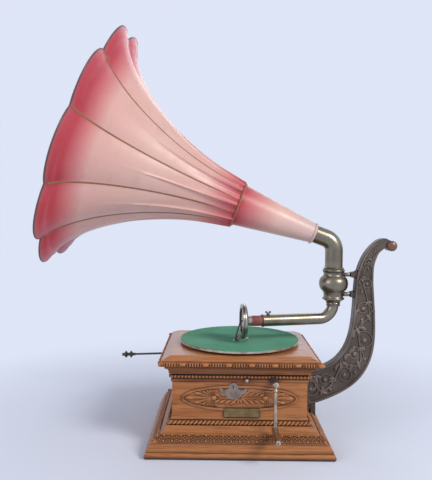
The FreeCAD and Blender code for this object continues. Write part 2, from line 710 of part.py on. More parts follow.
def bevel_distance(other_teeth):
    # From the crossing of the axes to the outer end of a bevel gear's teeth.
    return other_teeth * BEVEL_MODULE / 2


def bevel_gear(teeth, other_teeth, bore):
    # Teeth run towards the origin, where the two axes cross; the gear lies on the +Z side.
    pitch_radius = teeth * BEVEL_MODULE / 2
    slant = math.cos(math.atan2(teeth, other_teeth))
    tip, root = TOOTH_TIP * BEVEL_MODULE / slant, TOOTH_ROOT * BEVEL_MODULE / slant
    rings = []
    for share in (BEVEL_INNER_SHARE, 1.0):
        height = bevel_distance(other_teeth) * share
        rings.append(gear_ring(teeth, pitch_radius * share, tip * share, root * share, 0, height))
    gear = skinned(rings)
    outer = bevel_distance(other_teeth)
    hub = rod(pitch_radius - root, (0, 0, outer), (0, 0, outer + 4))
    gear = gear.fuse(hub)
    if bore:
        gear = gear.cut(rod(bore, (0, 0, 0), (0, 0, outer + 6)))
    return gear


def middle_arbor_place():
    # The middle arbor meshes with the barrel on one side and with the spindle on the other.
    to_barrel = BARREL_MODULE * (BARREL_GEAR_TEETH + MIDDLE_PINION_TEETH) / 2
    to_spindle = MIDDLE_MODULE * (MIDDLE_WHEEL_TEETH + SPINDLE_PINION_TEETH) / 2
    dx, dy = SPINDLE_X - BARREL_X, -BARREL_Y
    apart = math.hypot(dx, dy)
    along = (to_barrel ** 2 - to_spindle ** 2 + apart ** 2) / (2 * apart)
    across = math.sqrt(to_barrel ** 2 - along ** 2)
    return (BARREL_X + (dx * along + dy * across) / apart, BARREL_Y + (dy * along - dx * across) / apart)


# Motor frame

def corners(inset_x, inset_y):
    x0, x1, y0, y1 = MOTOR_PLATE_BOX
    return [(x, y) for x in (x0 + inset_x, x1 - inset_x) for y in (y0 + inset_y, y1 - inset_y)]


def bolt_places():
    return corners(*BOLT_INSET)


def plate_blank(z):
    x0, x1, y0, y1 = MOTOR_PLATE_BOX
    return box(x0, x1, y0, y1, z, z + MOTOR_PLATE_THICK)


def governor_y():
    wheel_tip = WORM_WHEEL_MODULE * (WORM_WHEEL_TEETH / 2 + TOOTH_TIP)
    return -(wheel_tip + SEAT_GAP + WORM_RADIUS)


def governor_z():
    return WORM_WHEEL_Z + WORM_WHEEL_WIDTH / 2


def motor_plate():
    # Cast plate with the hanging bearings of the crank shaft and the governor.
    plate = plate_blank(MOTOR_TOP)
    b = COG_BEARING
    parts = [box(CRANK_X - b, CRANK_X + b, BARREL_Y - 46, BARREL_Y - 34, CRANK_Z - 8, MOTOR_TOP)]
    for x in (GOVERNOR_LEFT + 3, GOVERNOR_RIGHT - 3):
        parts.append(box(x - 3, x + 3, governor_y() - b + 2, governor_y() + b - 2, governor_z() - 6, MOTOR_TOP))
    lever_x, lever_y = LEVER_PIVOT
    parts.append(rod(3.0, (lever_x, lever_y, LEVER_Z), (lever_x, lever_y, MOTOR_TOP)))
    pawl_x, pawl_y = pawl_place()
    parts.append(rod(2.5, (pawl_x, pawl_y, RATCHET_Z), (pawl_x, pawl_y, MOTOR_TOP)))
    plate = plate.multiFuse(parts)
    y, z = governor_y(), governor_z()
    top = MOTOR_TOP + MOTOR_PLATE_THICK
    play = RUNNING_FIT
    holes = [rod(CRANK_SHAFT_RADIUS + play, (CRANK_X, BARREL_Y - 50, CRANK_Z), (CRANK_X, BARREL_Y - 30, CRANK_Z)),
             rod(GOVERNOR_SHAFT_RADIUS + play, (GOVERNOR_LEFT - 5, y, z), (GOVERNOR_RIGHT + 5, y, z)),
             rod(SPINDLE_RADIUS + play, (SPINDLE_X, 0, MOTOR_TOP - 1), (SPINDLE_X, 0, top + 1)),
             rod(ARBOR_RADIUS + play, (BARREL_X, BARREL_Y, MOTOR_TOP - 1), (BARREL_X, BARREL_Y, top + 1))]
    mx, my = middle_arbor_place()
    holes.append(rod(MIDDLE_ARBOR_RADIUS + play, (mx, my, MOTOR_TOP - 1), (mx, my, top + 1)))
    for bx, by in bolt_places():
        holes.append(rod(BOLT_RADIUS, (bx, by, MOTOR_TOP - 1), (bx, by, top + 1)))
    return plate.cut(group(holes))


def motor_lower_plate():
    z = MOTOR_FLOOR - MOTOR_PLATE_THICK
    plate = plate_blank(z)
    mx, my = middle_arbor_place()
    holes = [rod(ARBOR_RADIUS + RUNNING_FIT, (BARREL_X, BARREL_Y, z - 1), (BARREL_X, BARREL_Y, MOTOR_FLOOR + 1)),
             rod(MIDDLE_ARBOR_RADIUS + RUNNING_FIT, (mx, my, z - 1), (mx, my, MOTOR_FLOOR + 1))]
    return plate.cut(group(holes))


def motor_pillars():
    return group([rod(PILLAR_RADIUS, (x, y, MOTOR_FLOOR), (x, y, MOTOR_TOP))
                  for x, y in corners(PILLAR_INSET, PILLAR_INSET)])


def hexagon(radius, x, y, low, high):
    corners_at = [(x + radius * math.cos(math.radians(60 * k)), y + radius * math.sin(math.radians(60 * k)), low)
                  for k in range(6)]
    return polygon(corners_at).extrude(Vector(0, 0, high - low))


def motor_bolts():
    bolts = []
    for x, y in bolt_places():
        stem = rod(BOLT_RADIUS, (x, y, MOTOR_TOP - 2), (x, y, TOP_Z))
        head = rod(BOLT_HEAD_RADIUS, (x, y, TOP_Z), (x, y, TOP_Z + BOLT_HEAD_HEIGHT))
        nut = hexagon(BOLT_HEAD_RADIUS, x, y, MOTOR_TOP - 4, MOTOR_TOP)
        bolts.append(stem.multiFuse([head, nut]))
    return group(bolts)


def motor_bushes():
    low, high = TONGUE_Z - MOTOR_BUSH_HEIGHT, TONGUE_Z
    return group([rod(MOTOR_BUSH_RADIUS, (x, y, low), (x, y, high)).cut(rod(BOLT_RADIUS, (x, y, low), (x, y, high)))
                  for x, y in bolt_places()])


# Spring barrel and winding work

def barrel_floor():
    return MOTOR_FLOOR + BARREL_LIFT


def barrel_gear_z():
    return barrel_floor() + BARREL_HEIGHT - BARREL_GEAR_WIDTH


def spring_barrel():
    # Open drum with the great wheel's teeth round its upper edge.
    low, high = barrel_floor(), barrel_floor() + BARREL_HEIGHT
    r, wall = BARREL_DRUM_RADIUS, BARREL_WALL
    bore = ARBOR_RADIUS + RUNNING_FIT
    drum = turned((bore, low), (r, low), (r, high), (r - wall, high), (r - wall, low + wall), (bore, low + wall))
    drum = placed(drum, (BARREL_X, BARREL_Y, 0), (0, 0, 1))
    mx, my = middle_arbor_place()
    phase = math.degrees(math.atan2(my - BARREL_Y, mx - BARREL_X))
    ring = spur_gear(BARREL_GEAR_TEETH, BARREL_MODULE, BARREL_GEAR_WIDTH, r - wall / 2, phase)
    ring.translate(Vector(BARREL_X, BARREL_Y, barrel_gear_z()))
    return drum.fuse(ring)


def barrel_lid():
    high = barrel_floor() + BARREL_HEIGHT
    lid = rod(BARREL_DRUM_RADIUS, (BARREL_X, BARREL_Y, high), (BARREL_X, BARREL_Y, high + BARREL_WALL))
    return lid.cut(rod(ARBOR_RADIUS + RUNNING_FIT, (BARREL_X, BARREL_Y, high - 1), (BARREL_X, BARREL_Y, high + 5)))


def mainspring():
    # A flat strip wound from the arbor out to the drum's wall.
    start = ARBOR_RADIUS + 2.0
    end = BARREL_DRUM_RADIUS - BARREL_WALL - SPRING_THICK - 0.5
    steps = SPRING_TURNS * SPRING_STEPS
    inner, outer = [], []
    for step in range(steps + 1):
        turn = 2 * math.pi * step / SPRING_STEPS
        radius = start + (end - start) * step / steps
        inner.append(Vector(radius * math.cos(turn), radius * math.sin(turn), 0))
        outer.append(Vector((radius + SPRING_THICK) * math.cos(turn), (radius + SPRING_THICK) * math.sin(turn), 0))
    loop = inner + outer[::-1] + [inner[0]]
    strip = Part.Face(Part.makePolygon(loop)).extrude(Vector(0, 0, BARREL_HEIGHT - 2 * BARREL_WALL - 2))
    strip.translate(Vector(BARREL_X, BARREL_Y, barrel_floor() + BARREL_WALL + 0.5))
    return strip


def barrel_arbor():
    # Shaft of the barrel with its ratchet wheel under the upper plate.
    shaft = rod(ARBOR_RADIUS, (BARREL_X, BARREL_Y, MOTOR_FLOOR - MOTOR_PLATE_THICK),
                (BARREL_X, BARREL_Y, MOTOR_TOP + MOTOR_PLATE_THICK))
    points = []
    pitch = 2 * math.pi / RATCHET_TEETH
    for tooth in range(RATCHET_TEETH):
        turn = tooth * pitch
        points.append((RATCHET_RADIUS * math.cos(turn), RATCHET_RADIUS * math.sin(turn), 0))
        turn += 0.12 * pitch
        points.append(((RATCHET_RADIUS - 3) * math.cos(turn), (RATCHET_RADIUS - 3) * math.sin(turn), 0))
    wheel = polygon(points).extrude(Vector(0, 0, RATCHET_WIDTH))
    wheel.translate(Vector(BARREL_X, BARREL_Y, RATCHET_Z))
    return shaft.fuse(wheel)


def winding_wheel():
    wheel = bevel_gear(BEVEL_WHEEL_TEETH, BEVEL_PINION_TEETH, ARBOR_RADIUS)
    return placed(wheel, (BARREL_X, BARREL_Y, CRANK_Z), (0, 0, -1), 90.0)


def pawl_place():
    return (BARREL_X + PAWL_PIVOT[0], BARREL_Y + PAWL_PIVOT[1])


def bar(start, end, half_width, low, high):
    # A flat link with round ends, lying level.
    start, end = Vector(*start, low), Vector(*end, low)
    side = (end - start).cross(UP).normalize() * half_width
    face = polygon([start + side, end + side, end - side, start - side])
    link = face.extrude(Vector(0, 0, high - low))
    ends = [Part.makeCylinder(half_width, high - low, point) for point in (start, end)]
    return link.multiFuse(ends)


def pawl():
    x, y = pawl_place()
    reach = math.hypot(*PAWL_PIVOT) - RATCHET_RADIUS
    aim = math.atan2(PAWL_PIVOT[1], PAWL_PIVOT[0]) + math.radians(14)
    tip_radius = RATCHET_RADIUS + 2.4
    tip = (BARREL_X + tip_radius * math.cos(aim), BARREL_Y + tip_radius * math.sin(aim))
    link = bar((x, y), tip, 2.0, RATCHET_Z, RATCHET_Z + RATCHET_WIDTH - 0.2)
    hub = rod(min(4.2, reach / 3), (x, y, RATCHET_Z), (x, y, RATCHET_Z + RATCHET_WIDTH - 0.2))
    return link.fuse(hub).cut(rod(2.5 + RUNNING_FIT, (x, y, RATCHET_Z - 1), (x, y, RATCHET_Z + 5)))


# Middle arbor and worm wheel

def middle_arbor():
    mx, my = middle_arbor_place()
    shaft = rod(MIDDLE_ARBOR_RADIUS, (mx, my, MOTOR_FLOOR - MOTOR_PLATE_THICK),
                (mx, my, MOTOR_TOP + MOTOR_PLATE_THICK))
    phase = math.degrees(math.atan2(BARREL_Y - my, BARREL_X - mx)) + 180.0 / MIDDLE_PINION_TEETH
    pinion = spur_gear(MIDDLE_PINION_TEETH, BARREL_MODULE, BARREL_GEAR_WIDTH + 2, MIDDLE_ARBOR_RADIUS, phase)
    pinion.translate(Vector(mx, my, barrel_gear_z() - 1))
    return shaft.fuse(pinion)


def middle_wheel():
    mx, my = middle_arbor_place()
    phase = math.degrees(math.atan2(-my, SPINDLE_X - mx)) + 180.0 / MIDDLE_WHEEL_TEETH
    wheel = spur_gear(MIDDLE_WHEEL_TEETH, MIDDLE_MODULE, MIDDLE_WHEEL_WIDTH, MIDDLE_ARBOR_RADIUS, phase)
    wheel.translate(Vector(mx, my, MIDDLE_WHEEL_Z))
    return wheel


def worm_wheel():
    wheel = spur_gear(WORM_WHEEL_TEETH, WORM_WHEEL_MODULE, WORM_WHEEL_WIDTH, SPINDLE_RADIUS, 0.0)
    wheel.translate(Vector(SPINDLE_X, 0, WORM_WHEEL_Z))
    return wheel


# Governor

def along_governor(shape, x):
    # Puts a shape built about Z on the governor's shaft, its foot at x, pointing to +X.
    return placed(shape, (x, governor_y(), governor_z()), (1, 0, 0))


def governor_shaft():
    # Shaft, fixed collar and the many-start worm, made as twisted sections.
    length = GOVERNOR_RIGHT - GOVERNOR_LEFT
    shaft = along_governor(rod(GOVERNOR_SHAFT_RADIUS, (0, 0, 0), (0, 0, length)), GOVERNOR_LEFT)
    collar = along_governor(rod(6.0, (0, 0, 0), (0, 0, 5.0)), GOVERNOR_COLLAR_X)
    lead = math.pi * WORM_WHEEL_MODULE * WORM_STARTS
    twist = 360.0 * WORM_LENGTH / lead
    rings = []
    for index in range(WORM_SLICE_COUNT + 1):
        share = index / WORM_SLICE_COUNT
        rings.append(gear_ring(WORM_STARTS, WORM_RADIUS - 1.0, 1.0, 0.8, twist * share, WORM_LENGTH * share))
    worm = along_governor(skinned(rings), SPINDLE_X - WORM_LENGTH / 2)
    return shaft.multiFuse([collar, worm])


def governor_disc():
    disc = turned((GOVERNOR_SHAFT_RADIUS, 0), (GOVERNOR_DISC_RADIUS, 0), (GOVERNOR_DISC_RADIUS, 2.0), (6.0, 2.0),
                  (6.0, 7.0), (GOVERNOR_SHAFT_RADIUS, 7.0))
    return along_governor(disc, GOVERNOR_DISC_X)


def governor_springs():
    # Three bowed leaves between the fixed collar and the sliding disc.
    left, right = GOVERNOR_DISC_X + 7.0, GOVERNOR_COLLAR_X
    span = right - left
    leaf_thick = 0.6
    lift = 4.6
    leaf = outline((lift, 0), (lift + leaf_thick, 0),
                   ((GOVERNOR_BOW + leaf_thick, span / 2), (lift + leaf_thick, span)), (lift, span),
                   ((GOVERNOR_BOW, span / 2), (lift, 0)))
    leaf = leaf.extrude(Vector(0, 4.0, 0))
    leaf.translate(Vector(0, -2.0, 0))
    return group([along_governor(turn_about(leaf, 120 * k), left) for k in range(3)])


def governor_weights():
    left, right = GOVERNOR_DISC_X + 7.0, GOVERNOR_COLLAR_X
    weight = rod(GOVERNOR_WEIGHT_RADIUS, (GOVERNOR_BOW + 0.6, 0, 0), (GOVERNOR_BOW + 5.6, 0, 0))
    return group([along_governor(turn_about(weight, 120 * k), (left + right) / 2) for k in range(3)])


def speed_lever():
    # Bell crank under the upper plate: the speed screw pushes one arm, the other carries the friction pad.
    x, y = LEVER_PIVOT
    screw_end = FRONT_Y + PANEL_THICK + SPEED_SCREW_REACH
    finger_x = GOVERNOR_DISC_X - 3.6
    finger_y = governor_y() - 6.0
    low, high = LEVER_Z, LEVER_Z + LEVER_THICK
    near = bar((x, y), (SPEED_X, screw_end + 4.6), 4.0, low, high)
    far = bar((x, y), (finger_x, finger_y), 3.0, low, high)
    hub = rod(6.0, (x, y, low), (x, y, high + 4))
    tab = box(SPEED_X - 4, SPEED_X + 4, screw_end + 0.6, screw_end + 3.0, low, SPEED_Z + 3)
    finger = box(finger_x - 3, finger_x + 3, finger_y - 3, finger_y + 3, governor_z() + 1, high)
    lever = near.multiFuse([far, hub, tab, finger])
    return lever.cut(rod(3.0 + RUNNING_FIT, (x, y, low - 1), (x, y, high + 5)))


# Bracket

def spline(points):
    curve = Part.BSplineCurve()
    curve.interpolate([Vector(x, 0, z) for x, z in points])
    return curve.toShape()


def line(start, end):
    return Part.LineSegment(Vector(start[0], 0, start[1]), Vector(end[0], 0, end[1])).toShape()


def out_of_panel(points):
    # Points of the bracket's outline, moved out to the right panel's face.
    return [(HALF_X + x, z) for x, z in points]


def bracket_face():
    # Sickle-shaped web, from the flange up to the curl and back.
    inner, outer = out_of_panel(BRACKET_INNER), out_of_panel(BRACKET_OUTER)
    crown, top, centre, hook, heel = out_of_panel([BRACKET_CROWN, CURL_TOP, CURL_CENTRE, CURL_HOOK, BRACKET_HEEL])
    shoulder = (centre[0], centre[1] + CURL_RADIUS - 1)
    crown_arc = Part.Arc(Vector(inner[-1][0], 0, inner[-1][1]), Vector(crown[0], 0, crown[1]),
                         Vector(top[0], 0, top[1])).toShape()
    edges = [spline(inner), crown_arc, line(top, shoulder), line(shoulder, centre), line(centre, hook),
             line(hook, outer[0]), spline(outer), line(outer[-1], heel), line(heel, inner[0])]
    return Part.Face(Part.Wire(edges))


def bracket():
    half = BRACKET_THICK / 2
    web = bracket_face().extrude(Vector(0, BRACKET_THICK, 0))
    web.translate(Vector(0, -half, 0))
    low, high = PLINTH_TOP + FLANGE_MARGIN, FRIEZE_BOTTOM - FLANGE_MARGIN
    flange = box(HALF_X, HALF_X + FLANGE_THICK, -FLANGE_WIDTH / 2, FLANGE_WIDTH / 2, low, high)
    curl_x, curl_z = out_of_panel([CURL_CENTRE])[0]
    curl = rod(CURL_RADIUS, (curl_x, -CURL_WIDTH / 2, curl_z), (curl_x, CURL_WIDTH / 2, curl_z))
    spur = polygon([(x, -half, z) for x, z in out_of_panel(SPUR)]).extrude(Vector(0, BRACKET_THICK, 0))
    ears = []
    for z, thick in ((UPPER_LUG_Z, UPPER_LUG_THICK), (LOWER_LUG_Z, LOWER_LUG_THICK)):
        ears.append(box(LUG_END_X, LUG_END_X + 18, -LUG_WIDTH / 2 - 2, LUG_WIDTH / 2 + 2,
                        z - thick / 2 - 1, z + thick / 2 + 1))
    casting = web.multiFuse([flange, curl, spur] + ears)
    return casting.cut(group(flange_screws(SCREW_RADIUS)))


def flange_screws(radius):
    screws = []
    half = FLANGE_WIDTH / 2 - FLANGE_SCREW_INSET
    outer = HALF_X + FLANGE_THICK
    for y in (-half, half):
        for z in (PLINTH_TOP + FLANGE_SCREW_INSET, FRIEZE_BOTTOM - FLANGE_SCREW_INSET):
            screws.append(rod(radius, (outer - SCREW_LENGTH, y, z), (outer, y, z)))
    return screws


def bracket_screws():
    outer = HALF_X + FLANGE_THICK
    screws = []
    for stem in flange_screws(SCREW_RADIUS):
        y, z = stem.BoundBox.Center.y, stem.BoundBox.Center.z
        head = rod(SCREW_HEAD_RADIUS, (outer, y, z), (outer + SCREW_HEAD_HEIGHT, y, z))
        screws.append(stem.fuse(head))
    return group(screws)


# Swivel bulb

def swivel_bulb():
    # Turned hollow body with two lugs towards the bracket.
    arm_bore = ARM_RADIUS + RUNNING_FIT
    top_bore = elbow_spigot_radius() + RUNNING_FIT
    inner = BULB_RADIUS - BULB_WALL
    body = turned((arm_bore, BULB_BOTTOM), (ARM_COLLAR_RADIUS, BULB_BOTTOM), (BULB_RING_RADIUS, 286.8),
                  (BULB_RING_RADIUS, 289.6), (BULB_WAIST_RADIUS, 292.0), (BULB_WAIST_RADIUS, 302.0),
                  (27.2, 308.0), (BULB_RADIUS, BULB_MIDDLE - BULB_BAND), (BULB_RADIUS, BULB_MIDDLE + BULB_BAND),
                  (28.0, 331.0), (BULB_NECK_RADIUS, 337.0), (BULB_NECK_RADIUS, BULB_TOP),
                  (top_bore, BULB_TOP), (top_bore, BULB_TOP - ELBOW_SPIGOT_DEPTH - 1),
                  (inner, BULB_MIDDLE + BULB_BAND), (inner, BULB_MIDDLE - BULB_BAND),
                  (arm_bore + 3, BULB_BORE_TOP + 3), (arm_bore, BULB_BORE_TOP))
    body = placed(body, (SWIVEL_X, 0, 0), (0, 0, 1))
    lugs = []
    for z, thick, start in ((UPPER_LUG_Z, UPPER_LUG_THICK, BULB_NECK_RADIUS),
                            (LOWER_LUG_Z, LOWER_LUG_THICK, BULB_WAIST_RADIUS)):
        lugs.append(box(SWIVEL_X + start - 2, LUG_END_X, -LUG_WIDTH / 2, LUG_WIDTH / 2,
                        z - thick / 2, z + thick / 2))
    hollow = rod(BULB_WAIST_RADIUS - 1.5, (SWIVEL_X, 0, BULB_BOTTOM), (SWIVEL_X, 0, BULB_TOP))
    lugs = [lug.cut(hollow) for lug in lugs]
    return body.multiFuse(lugs)


# Elbow and horn

def horn_axis():
    tilt = math.radians(HORN_TILT)
    return Vector(-math.cos(tilt), 0, math.sin(tilt))


def elbow_spigot_radius():
    return ELBOW_RADIUS - 2.2


def pipe(radius, corner, down, along, bend, low_end, far_end):
    # A round bar from a point on one leg, round the bend at the corner, to a point on the other leg.
    down, along, corner = Vector(*down), Vector(*along), Vector(*corner)
    turn = math.pi - down.getAngle(along)
    cut_back = bend * math.tan(turn / 2)
    first, second = corner + down * cut_back, corner + along * cut_back
    centre = corner + (down + along).normalize() * (bend / math.cos(turn / 2))
    section = Part.Face(Part.Wire([Part.Circle(first, down, radius).toShape()]))
    knee = section.revolve(centre, (first - centre).cross(second - centre), math.degrees(turn))
    legs = [Part.makeCylinder(radius, low_end - cut_back, first, down),
            Part.makeCylinder(radius, far_end - cut_back, second, along)]
    return knee.multiFuse(legs)


def horn_elbow():
    corner = (SWIVEL_X, 0, HORN_CORNER_Z)
    flange_low = BULB_TOP + SEAT_GAP
    flange_top = flange_low + ELBOW_FLANGE_HEIGHT
    reach = NECK_START + NECK_OVERLAP
    tube = pipe(ELBOW_RADIUS, corner, (0, 0, -1), horn_axis(), ELBOW_BEND, HORN_CORNER_Z - flange_low, reach)
    r = ELBOW_FLANGE_RADIUS
    flange = turned((0, flange_low), (r - 1, flange_low), (r, flange_low + 1), (r, flange_low + 3), (r - 1, flange_low + 4),
                    (ELBOW_RADIUS + 2, flange_top), (0, flange_top))
    spigot = rod(elbow_spigot_radius(), (0, 0, BULB_TOP - ELBOW_SPIGOT_DEPTH), (0, 0, flange_low))
    fitting = placed(flange.fuse(spigot), (SWIVEL_X, 0, 0), (0, 0, 1))
    bore = pipe(ELBOW_RADIUS - ELBOW_WALL - 2.2, corner, (0, 0, -1), horn_axis(), ELBOW_BEND,
                HORN_CORNER_Z - BULB_TOP + ELBOW_SPIGOT_DEPTH + 5, reach + 5)
    return tube.fuse(fitting).cut(bore)


def horn_placement():
    # Horn parts are built along +Z from the small end, with +X towards the crank side and +Y upwards.
    axis = horn_axis()
    towards = Vector(0, -1, 0)
    start = Vector(SWIVEL_X, 0, HORN_CORNER_Z) + axis * NECK_START
    return FreeCAD.Placement(start, FreeCAD.Rotation(towards, axis.cross(towards), axis, "ZXY"))


def on_horn(shape):
    moved = shape.copy()
    moved.Placement = horn_placement().multiply(shape.Placement)
    return moved


def horn_neck():
    # Rolled cone with a bead at the small end and the collar that holds the bell.
    r0, r1, n, w = NECK_SMALL_RADIUS, NECK_LARGE_RADIUS, NECK_LENGTH, NECK_WALL
    slope = (r1 - r0) / n
    collar_foot = r1 - slope * COLLAR_WIDTH
    cone = turned((r0 - w, 0), (r0 + 0.6, 0), (r0 + 1.5, 1.2), (r0 + 1.5, 2.8), (r0 + slope * 4.0, 4.0),
                  (collar_foot, n - COLLAR_WIDTH), (COLLAR_RADIUS - 0.8, n - COLLAR_WIDTH),
                  (COLLAR_RADIUS, n - COLLAR_WIDTH / 2), (COLLAR_RADIUS - 0.8, n), (r1 - w, n))
    return on_horn(cone)


def petal_ring(distance, seam_radius, middle_radius):
    # Corners along ten arcs from seam to seam, each arc through the middle of its petal.
    step = math.radians(360.0 / PETALS)
    rise = middle_radius - seam_radius * math.cos(step / 2)
    arc_radius = ((seam_radius * math.sin(step / 2)) ** 2 + rise ** 2) / (2 * rise)
    centre = middle_radius - arc_radius
    points = []
    for petal in range(PETALS):
        for chord in range(PETAL_CHORD_COUNT):
            away = step * (chord / PETAL_CHORD_COUNT - 0.5)
            radius = centre * math.cos(away) + math.sqrt(arc_radius ** 2 - (centre * math.sin(away)) ** 2)
            turn = math.radians(SEAM_START) + (petal + 0.5) * step + away
            points.append(Vector(radius * math.cos(turn), radius * math.sin(turn), NECK_LENGTH + distance))
    return points


def bell_slope(index):
    # How fast the seam's radius grows at a station.
    low, high = max(index - 1, 0), min(index + 1, len(BELL_STATIONS) - 1)
    return (BELL_STATIONS[high][1] - BELL_STATIONS[low][1]) / (BELL_STATIONS[high][0] - BELL_STATIONS[low][0])


def bell_solid():
    return skinned([petal_ring(*station) for station in BELL_STATIONS])


def bell_hollow():
    # The bell's inside, one sheet thickness in from its outside, run on past both ends.
    start = BELL_STATIONS[0][1] - SHEET_THICK - 3.0 * bell_slope(0)
    rings = [petal_ring(-3.0, start, start)]
    for index, (distance, seam, middle) in enumerate(BELL_STATIONS):
        lean = math.atan(bell_slope(index))
        inwards = SHEET_THICK * math.cos(lean)
        rings.append(petal_ring(distance + SHEET_THICK * math.sin(lean), seam - inwards, middle - inwards))
    return skinned(rings)


def horn_bell():
    return on_horn(bell_solid().cut(bell_hollow()))


def horn_seams():
    # Folded seams, standing along the joints between the petals.
    low, high = [], []
    for index, (distance, seam, _) in enumerate(BELL_STATIONS):
        lean = math.atan(bell_slope(index))
        z = NECK_LENGTH + distance
        low.append((seam - 0.3 * math.cos(lean), z + 0.3 * math.sin(lean)))
        high.append((seam + SEAM_HEIGHT * math.cos(lean), z - SEAM_HEIGHT * math.sin(lean)))
    trim = NECK_LENGTH + 0.2
    rib = polygon([(x, 0, z) for x, z in low + high[::-1]]).extrude(Vector(0, SEAM_WIDTH, 0))
    rib.translate(Vector(0, -SEAM_WIDTH / 2, 0))
    rib = turn_about(rib, SEAM_START)
    keep = rod(BELL_STATIONS[-1][2] + 20, (0, 0, trim), (0, 0, NECK_LENGTH + BELL_STATIONS[-1][0]))
    rib = rib.cut(bell_solid()).common(keep)
    rib = max(rib.Solids, key=lambda solid: solid.Volume)
    return group([on_horn(turn_about(rib, 360.0 / PETALS * k)) for k in range(PETALS)])


def horn_rim():
    # The sheet's edge rolled over a wire, following the petals' scallops.
    edge = polygon(petal_ring(*BELL_STATIONS[-1])).OuterWire
    outer = Part.Face(edge.makeOffset2D(0.9, 2))
    inner = Part.Face(edge.makeOffset2D(0.9 - RIM_ROLL, 2))
    return on_horn(outer.cut(inner).extrude(Vector(0, 0, RIM_ROLL)))


# Tone arm and sound box

def level(degrees):
    # A level direction, turned from -X towards the crank side.
    yaw = math.radians(degrees)
    return Vector(-math.cos(yaw), -math.sin(yaw), 0)


def arm_point(along, z=ARM_Z):
    # A point over or under the arm's axis, measured from the swivel's axis.
    point = Vector(SWIVEL_X, 0, z) + level(ARM_YAW) * along
    return (point.x, point.y, z)


def box_point(along, z=ARM_Z, across=0.0):
    # A point by the sound box's axis, measured from the middle of the sleeve, where the two axes meet.
    middle = Vector(*arm_point(ARM_LENGTH + SLEEVE_LENGTH / 2, z))
    point = middle + level(BOX_YAW) * along + level(BOX_YAW + 90) * across
    return (point.x, point.y, z)


def along_arm(shape, along):
    return placed(shape, arm_point(along), level(ARM_YAW))


def along_box(shape, along, z=ARM_Z):
    return placed(shape, box_point(along, z), level(BOX_YAW))


def tone_arm():
    # Nickel tube with its swivel collar, a ferrule round the open end and a boss for the wing screw.
    corner = (SWIVEL_X, 0, ARM_Z)
    rise = BULB_BORE_TOP - 1.0 - ARM_Z
    tube = pipe(ARM_RADIUS, corner, (0, 0, 1), level(ARM_YAW), ARM_BEND, rise, ARM_LENGTH)
    top = BULB_BOTTOM - SEAT_GAP
    collar = rod(ARM_COLLAR_RADIUS, (SWIVEL_X, 0, top - ARM_COLLAR_HEIGHT), (SWIVEL_X, 0, top))
    ferrule = along_arm(rod(ARM_RADIUS + 0.9, (0, 0, 0), (0, 0, FERRULE_LENGTH)), ARM_LENGTH - FERRULE_LENGTH)
    boss = rod(4.0, arm_point(WING_SCREW_S), arm_point(WING_SCREW_S, wing_seat_z()))
    bore = pipe(ARM_RADIUS - ARM_WALL, corner, (0, 0, 1), level(ARM_YAW), ARM_BEND, rise + 5, ARM_LENGTH + 5)
    thread = rod(WING_STEM_RADIUS + RUNNING_FIT, arm_point(WING_SCREW_S), arm_point(WING_SCREW_S, wing_seat_z() + 5))
    return tube.multiFuse([collar, ferrule, boss]).cut(bore).cut(thread)


def wing_seat_z():
    return ARM_Z + ARM_RADIUS + 1.2


def wing_screw():
    # Stem, hub and two upswept wings.
    z = wing_seat_z() + SEAT_GAP
    stem = rod(WING_STEM_RADIUS, (0, 0, ARM_Z + ARM_RADIUS - ARM_WALL + 0.2), (0, 0, z + 3))
    hub = rod(3.0, (0, 0, z), (0, 0, z + 3.0))
    half = WING_SPAN / 2
    wing = outline((0, z + 0.6), (half - 1.6, z + 1.6), ((half, z + WING_HEIGHT), (half - 3.4, z + WING_HEIGHT)),
                   (1.2, z + 3.0), (0, z + 3.0))
    wing = wing.extrude(Vector(0, 1.4, 0))
    wing.translate(Vector(0, -0.7, 0))
    screw = stem.multiFuse([hub, wing, turn_about(wing, 180)])
    return placed(screw, arm_point(WING_SCREW_S, 0), (0, 0, 1), ARM_YAW)


def arm_sleeve():
    # Soft rubber sleeve that joins the arm to the sound box's stem, bent a little.
    middle = arm_point(ARM_LENGTH + SLEEVE_LENGTH / 2)
    half = SLEEVE_LENGTH / 2 - 0.2
    skins = [pipe(radius, middle, -level(ARM_YAW), level(BOX_YAW), SLEEVE_BEND, reach, reach)
             for radius, reach in ((SLEEVE_RADIUS, half), (STEM_RADIUS + 0.1, half + 1))]
    return skins[0].cut(skins[1])


def stylus_z():
    # Height of the stylus bar's pivot, at the foot of the sound box.
    return ARM_Z - SOUND_BOX_RADIUS


def sound_box():
    # Cup with its stem, front ring and the two ears that carry the stylus bar.
    r, t, w = SOUND_BOX_RADIUS, SOUND_BOX_THICK, SOUND_BOX_WALL
    stem = SOUND_BOX_BACK - 2.5
    shoulder = SOUND_BOX_BACK - SLEEVE_LENGTH / 2
    opening = DIAPHRAGM_RADIUS - 2.5
    cup = turned((STEM_RADIUS - 1.6, -stem), (STEM_RADIUS - 0.3, -stem), (STEM_RADIUS - 0.3, -shoulder),
                 (SLEEVE_RADIUS - 0.2, -shoulder), (SLEEVE_RADIUS - 0.2, -3.0), (r - 5, 0),
                 (r, 4.0), (r, t - 2.5), (r - 2.5, t), (opening, t),
                 (opening, t - w), (DIAPHRAGM_RADIUS + 0.1, t - w), (DIAPHRAGM_RADIUS + 0.1, t - w - 2.2),
                 (opening, t - w - 2.2), (opening, w), (STEM_RADIUS - 1.6, w))
    low = stylus_z()
    ears = []
    for side in (-1, 1):
        profile = [(t - 1.5, low + 7), (t - 1.5, low + 1), (t + 3, low - 1.5), (t + 9, low - 2.5),
                   (t + 9, low + 2.5), (t + 3, low + 7)]
        ears.append(box_slice(profile, side * (CHUCK_RADIUS + 1.4), 1.0))
    return along_box(cup, SOUND_BOX_BACK).multiFuse(ears)


